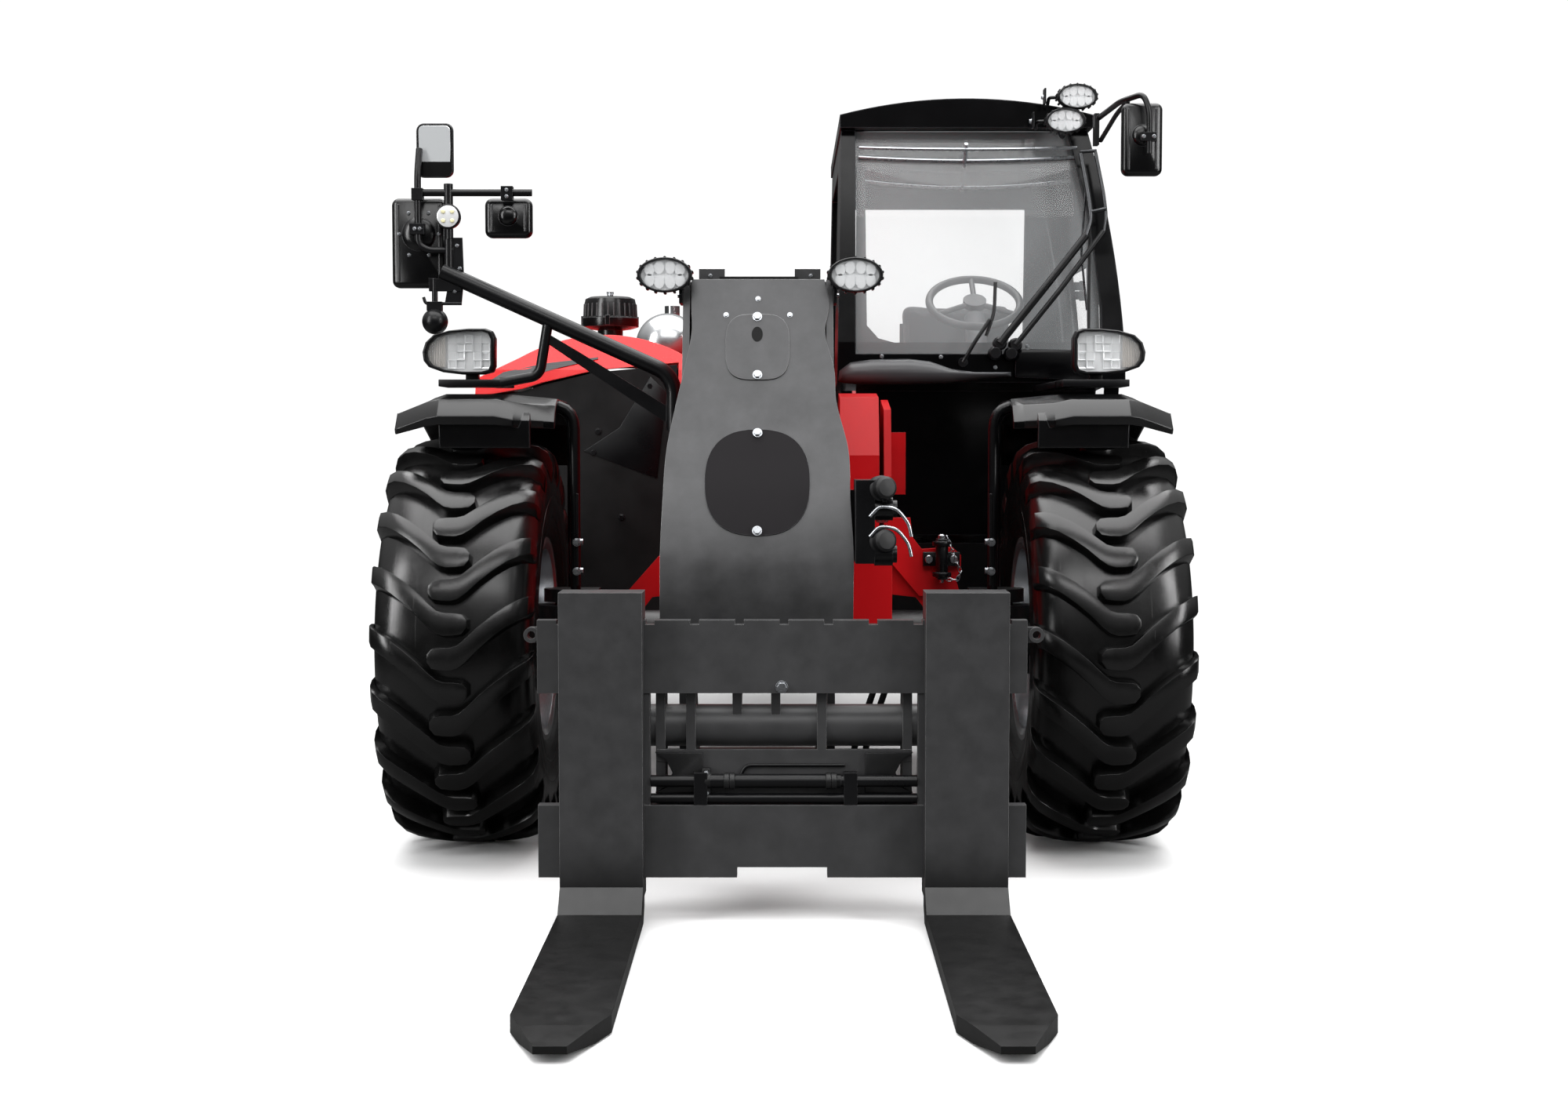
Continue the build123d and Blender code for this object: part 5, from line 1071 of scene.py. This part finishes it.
# flat woven polyester: 3 mm yarns drawn coarse enough to show, dull, with a faint sheen at its turns
place = add(tree, "ShaderNodeTexCoord").outputs["Object"]
warp = add(tree, "ShaderNodeTexWave", {"Vector": place, "Scale": 105, "Distortion": 0.4}, bands_direction="X")
weft = add(tree, "ShaderNodeTexWave", {"Vector": place, "Scale": 105, "Distortion": 0.4}, bands_direction="Z")
weave = add(tree, "ShaderNodeMath", {0: warp.outputs["Fac"], 1: weft.outputs["Fac"]}, operation="MULTIPLY")
yarn = add(tree, "ShaderNodeMix", {0: weave.outputs[0], 6: linear("#1e1f21"), 7: linear("#3c3e41")},
           data_type="RGBA")
bump = add(tree, "ShaderNodeBump", {"Strength": 0.4, "Distance": 0.001, "Height": weave.outputs[0]})
tree.links.new(yarn.outputs[2], shader.inputs["Base Color"])
tree.links.new(bump.outputs[0], shader.inputs["Normal"])
shader.inputs["Roughness"].default_value = 0.85
shader.inputs["Sheen Weight"].default_value = 0.3


def stuffed(name, low, high, soft):
    """A foam cushion: its block swells under pressure with its seams held, and settles on the pan."""
    points, faces = slab(low, high)
    mesh = bpy.data.meshes.new(name)
    mesh.from_pydata(points, [], faces)
    piece = bpy.data.objects.new(name, mesh)
    scene.collection.objects.link(piece)
    for kind, values in (("BEVEL", {"width": 0.035, "segments": 4}),
                         ("REMESH", {"mode": "VOXEL", "voxel_size": 0.011})):
        modifier = piece.modifiers.new(kind, kind)
        for key, value in values.items():
            setattr(modifier, key, value)
    piece.data = applied(piece)
    rest = [v.co.copy() for v in piece.data.vertices]
    simulation = piece.modifiers.new("cloth", "CLOTH")
    settings = simulation.settings
    settings.use_pressure, settings.uniform_pressure_force = True, 3.5
    settings.effector_weights.gravity = 0
    settings.tension_stiffness = settings.compression_stiffness = 25
    for step in range(1, 15):
        scene.frame_set(step)
    piece.data = applied(piece)
    for vertex, place in zip(piece.data.vertices, rest):
        move = vertex.co - place
        if move.length > soft:
            vertex.co = place + move.normalized() * soft
    scene.frame_set(1)
    middle, half = (Vector(low) + Vector(high)) / 2, (Vector(high) - Vector(low)) / 2
    flat = 2 if half.z < half.y else 1
    for vertex in piece.data.vertices:
        way = vertex.co - middle
        # sewn channels across the pad, and sides that stay inside the shell
        channel = math.exp(-((abs(way.x) - half.x * 0.55) / 0.012) ** 2)
        if abs(way[flat]) > half[flat] * 0.5:
            vertex.co[flat] -= math.copysign(0.010 * channel, way[flat])
        for k in range(3):
            vertex.co[k] = max(low[k] - 0.004, min(high[k] + (0.018 if k == flat else 0.004), vertex.co[k]))
    finer = piece.modifiers.new("finer", "SUBSURF")
    finer.levels = finer.render_levels = 1
    piece.data.shade_smooth()
    piece.data.materials.append(cloth)
    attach(piece, "chassis")
    return piece


squab = stuffed("seat_squab", (0.455, 0.455, 1.305), (0.925, 0.895, 1.400), 0.020)
stuffed("seat_backrest", (0.465, 0.822, 1.425), (0.915, 0.920, 1.845), 0.018)
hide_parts("seat_cushions")

# ---- Headlights ------------------------------------------------------------------------------
# Combined lamps in black housings on steel shelves over the fenders: a faceted main reflector and
# a ribbed turn signal behind one clear lens.
lamp_outline = [(0.914, 1.512), (0.906, 1.53), (0.905, 1.62), (0.914, 1.641), (0.935, 1.649), (0.99, 1.649),
                (1.05, 1.643), (1.10, 1.629), (1.125, 1.605), (1.1345, 1.575), (1.131, 1.548),
                (1.115, 1.528), (1.07, 1.512), (1.01, 1.505), (0.94, 1.505)]
# (share of the outline, y) from the back of the case round into its mouth
case_profile = ((0.5, -0.812), (0.8, -0.825), (0.97, -0.86), (1.0, -0.90), (1.0, -0.918), (0.965, -0.928),
                (0.88, -0.928), (0.865, -0.918), (0.86, -0.885))
pillow = 0.0265
# moulded grey bowl behind the turn signal's ribs
signal_bowl = coating("turn_signal_bowl", "#b9b3ad", 0.25, cloud=0.05, grain_mm=3, grain=0.1, coat=0.4)
for side, sign in hands:
    centre = Vector((1.02, 0, 1.577))

    def lamp_ring(scale, y, sign=sign, centre=centre):
        """The lamp's outline at y, drawn in toward its middle."""
        return [(sign * (centre.x + (x - centre.x) * scale), y, centre.z + (z - centre.z) * scale)
                for x, z in lamp_outline]

    rings = [lamp_ring(a, y) for a, y in case_profile]
    shelf = slab((min(sign * 0.872, sign * 1.081), -0.945, 1.467),
                 (max(sign * 0.872, sign * 1.081), -0.77, 1.489))
    post = slab((min(sign * 0.965, sign * 1.005), -0.885, 1.485),
                (max(sign * 0.965, sign * 1.005), -0.85, 1.512))
    # the left shelf's stem runs back to the cab, the right one ends on the mirror arm
    back_y = (-0.79, -0.21) if sign > 0 else (-0.79, -0.73)
    stem = slab((min(sign * 0.872, sign * 0.93), back_y[0], 1.467),
                (max(sign * 0.872, sign * 0.93), back_y[1], 1.489))
    shape(f"{side}_headlight_case", [lofted(rings), shelf, post, stem], black_coat, "chassis", bevel=0.002,
          stands_for=["headlights"] if sign > 0 else [])
    # facets of the main reflector: each is a low pyramid whose tip leans another way
    pillows = []
    for i in range(5):
        for k in range(4):
            x0, z0 = 0.924 + i * pillow, 1.524 + k * pillow
            y = -0.905 - 0.004 * math.sin(2.1 * i + 1.3 * k)
            cell = [(sign * (x0 + pillow * a), y, z0 + pillow * b)
                    for a, b in ((0, 0), (1, 0), (1, 1), (0, 1))]
            tip = (sign * (x0 + pillow * (0.5 + 0.22 * math.sin(3 * i + k))),
                   -0.888 - 0.006 * math.cos(i + 2 * k), z0 + pillow * (0.5 + 0.2 * math.cos(i + 3 * k)))
            pillows.append((cell + [tip], [(0, 1, 4), (1, 2, 4), (2, 3, 4), (3, 0, 4)]))
    pillows.append(lofted([lamp_ring(a, y) for a, y in ((0.86, -0.902), (0.86, -0.900))]))
    shape(f"{side}_headlight_reflector", pillows, reflector, "chassis", smooth=10)
    ribs = [bent_bar([(sign * x, -0.908, 1.528 + max(0, x - 1.09) * 0.5),
                      (sign * x, -0.908, 1.632 - max(0, x - 1.06) * 0.6)], 0.0022, sides=6)
            for x in [1.066 + 0.0052 * k for k in range(11)]]
    shape(f"{side}_signal_ribs", ribs, signal_bowl, "chassis")
    shape(f"{side}_headlight_lens",
          [lofted([lamp_ring(a, y) for a, y in ((0.87, -0.920), (0.8, -0.925), (0.5, -0.929))])], lens,
          "chassis", smooth=60)

# ---- Mirrors ---------------------------------------------------------------------------------
# Moulded heads on bent tubes. The two big right ones look back, and the small top one is turned
# to show the fork tips. A black ball under the arm marks its outer end.
silvered, tree, shader = new_material("silvered_mirror_glass")
# float glass silvered on its back: a true mirror with faint dust
dust = add(tree, "ShaderNodeTexNoise",
           {"Vector": add(tree, "ShaderNodeTexCoord").outputs["Object"], "Scale": 30, "Detail": 6})
gloss = add(tree, "ShaderNodeMapRange", {0: dust.outputs[0], 1: 0.4, 2: 0.7, 3: 0.02, 4: 0.10})
shader.inputs["Base Color"].default_value = linear("#eef1f3")
shader.inputs["Metallic"].default_value = 0.45
tree.links.new(gloss.outputs[0], shader.inputs["Roughness"])
dress(black_coat, "right_mirror_arm")
# ribbed acrylic of the tail lamps: deep red all through, with a hard gloss
tail_red = coating("tail_lamp_acrylic", "#a30a0c", 0.14, cloud=0.04, cloud_mm=30, grain_mm=2, grain=0.15,
                   edge="#d84a48", coat=0.4)
dress(tail_red, "rear_lights")


def rounded_box(x0, x1, z0, z1, corner, y, inset=0.0):
    """A rectangle in front view with round corners."""
    points = []
    for cx, cz, start in ((x1 - corner, z1 - corner, 0), (x0 + corner, z1 - corner, 90),
                          (x0 + corner, z0 + corner, 180), (x1 - corner, z0 + corner, 270)):
        for k in range(7):
            a = math.radians(start + 15 * k)
            points.append((cx + (corner - inset) * math.cos(a), y, cz + (corner - inset) * math.sin(a)))
    return points


for name, x0, x1, z0, z1, y, disc in (("wide_mirror", -1.221, -1.050, 1.773, 2.050, -0.952, 0.052),
                                      ("inner_mirror", -0.931, -0.784, 1.928, 2.050, -0.952, 0.030),
                                      ("left_mirror", 1.097, 1.229, 2.157, 2.391, -0.666, 0.034)):
    corner = 0.022
    rings = [rounded_box(x0, x1, z0, z1, corner, y + d, i) for d, i in
             ((0.032, 0.003), (0.026, 0.0), (0.014, 0.0), (0.005, 0.004), (0.0, 0.012))]
    dx, dz = (x0 + x1) / 2, z0 + (z1 - z0) * (0.60 if name == "wide_mirror" else 0.55)
    hub = turned([(disc, -0.004), (disc, 0.004), (disc * 0.86, 0.011), (disc * 0.5, 0.016),
                  (disc * 0.16, 0.017)], (dx, y, dz), (0, -1, 0), 36)
    ribs = [bent_bar([(x, y - 0.001, z0 + 0.02), (x, y - 0.001, z1 - 0.02)], 0.003, sides=8)
            for x in (x0 + 0.022, x1 - 0.022)]
    shape(f"{name}_head", [lofted(rings), hub] + ribs, fender_plastic, "chassis", smooth=40,
          stands_for=["mirrors"] if name == "wide_mirror" else [])
    face = [rounded_box(x0, x1, z0, z1, corner, y + d, 0.010) for d in (0.031, 0.0335)]
    shape(f"{name}_glass", [lofted(face)], silvered, "chassis")
rings = [rounded_box(-1.142, -1.026, 2.113, 2.281, 0.024, -0.952 + d, i) for d, i in
         ((0.034, 0.014), (0.02, 0.002), (0.008, 0.0), (0.0, 0.003))]
shape("top_mirror_head", [lofted(rings)], fender_plastic, "chassis", smooth=40)
face = [rounded_box(-1.142, -1.026, 2.113, 2.281, 0.024, y, i)
        for y, i in ((-0.9515, 0.009), (-0.9545, 0.0105))]
shape("top_mirror_glass",
      [lofted([[(x, y - 0.012 * (z - 2.113) / 0.168 + 0.006, z) for x, y, z in ring] for ring in face])],
      silvered, "chassis")
# the fittings are clamped on the arm's upright, 28 mm in front of the heads
y = -0.980
arm_parts = [bent_bar([(-1.130, y + 0.02, 2.20), (-1.133, y, 2.12), (-1.133, y, 1.905), (-1.10, y, 1.886),
                       (-1.025, y, 1.886)], 0.0105), cut_sheet([(-1.052, 1.722), (-1.0, 1.722),
                                                                (-0.992, 1.80), (-0.996, 1.925),
                                                                (-1.040, 1.925), (-1.030, 1.84)], y - 0.004,
                                                               y + 0.004), slab((-1.150, y - 0.016, 2.040),
        (-1.116, y + 0.016, 2.076)), slab((-0.874, y - 0.016, 2.040), (-0.838, y + 0.016, 2.082)),
             slab((-1.158, y - 0.014, 1.935), (-1.112, y + 0.02, 1.968)),
             slab((-1.107, y - 0.012, 1.700), (-1.060, y + 0.012, 1.728)),
             bent_bar([(-1.118, y, 1.742), (-1.112, y, 1.722), (-1.0, y, 1.722)], 0.005)]
shape("mirror_fittings", arm_parts, black_coat, "chassis", smooth=40)
bolts("mirror_bolts", "chassis",
      [((x, y - 0.016, z), front) for x, z in ((-1.141, 1.951), (-1.125, 1.951), (-0.856, 2.07),
                                               (-0.856, 2.05))] + [((x, y - 0.004, z), front)
        for x, z in ((-1.012, 1.90), (-1.004, 1.83), (-1.02, 1.76))]
      + [((-1.1355 + 0.062 * math.cos(a), -0.953, 1.939 + 0.075 * math.sin(a)), front)
         for a in [math.pi * k / 3 for k in range(6)]], 0.009, zinc)
round_case = turned([(0.020, -0.045), (0.036, -0.03), (0.0385, -0.01), (0.0385, 0.0), (0.034, 0.002)],
                    (-1.036, -1.005, 1.988), (0, -1, 0), 36)
shape("round_lamp_case", [round_case, bent_bar([(-1.036, -0.985, 1.95), (-1.036, -0.985, 1.92)], 0.012)],
      black_coat, "chassis")
shape("round_lamp_face",
      [turned([(0.033, 0.0), (0.033, 0.004), (0.030, 0.005)], (-1.036, -1.005, 1.988), (0, -1, 0), 36)],
      reflector, "chassis")
shape("round_lamp_diodes",
      [turned([(0.0065, 0.0), (0.0065, 0.007), (0.004, 0.009)], (-1.036 + a, -1.005, 1.988 + b), (0, -1, 0),
              16) for a in (-0.014, 0.014) for b in (-0.014, 0.014)], diode, "chassis")
left_arm = [bent_bar([(1.062, -0.39, 2.385), (1.100, -0.60, 2.405), (1.160, -0.69, 2.415),
                      (1.178, -0.702, 2.36), (1.178, -0.702, 2.222)], 0.0095, 0.03),
            bent_bar([(1.070, -0.39, 2.31), (1.098, -0.55, 2.375), (1.12, -0.63, 2.400)], 0.008),
            slab((1.048, -0.40, 2.295), (1.064, -0.36, 2.40)),
            slab((1.150, -0.712, 2.262), (1.200, -0.690, 2.290))]
shape("left_mirror_arm", left_arm, black_coat, "chassis", smooth=40)
bolts("left_mirror_bolts", "chassis", [((x, -0.712, 2.276), front) for x in (1.158, 1.192)], 0.010, zinc)
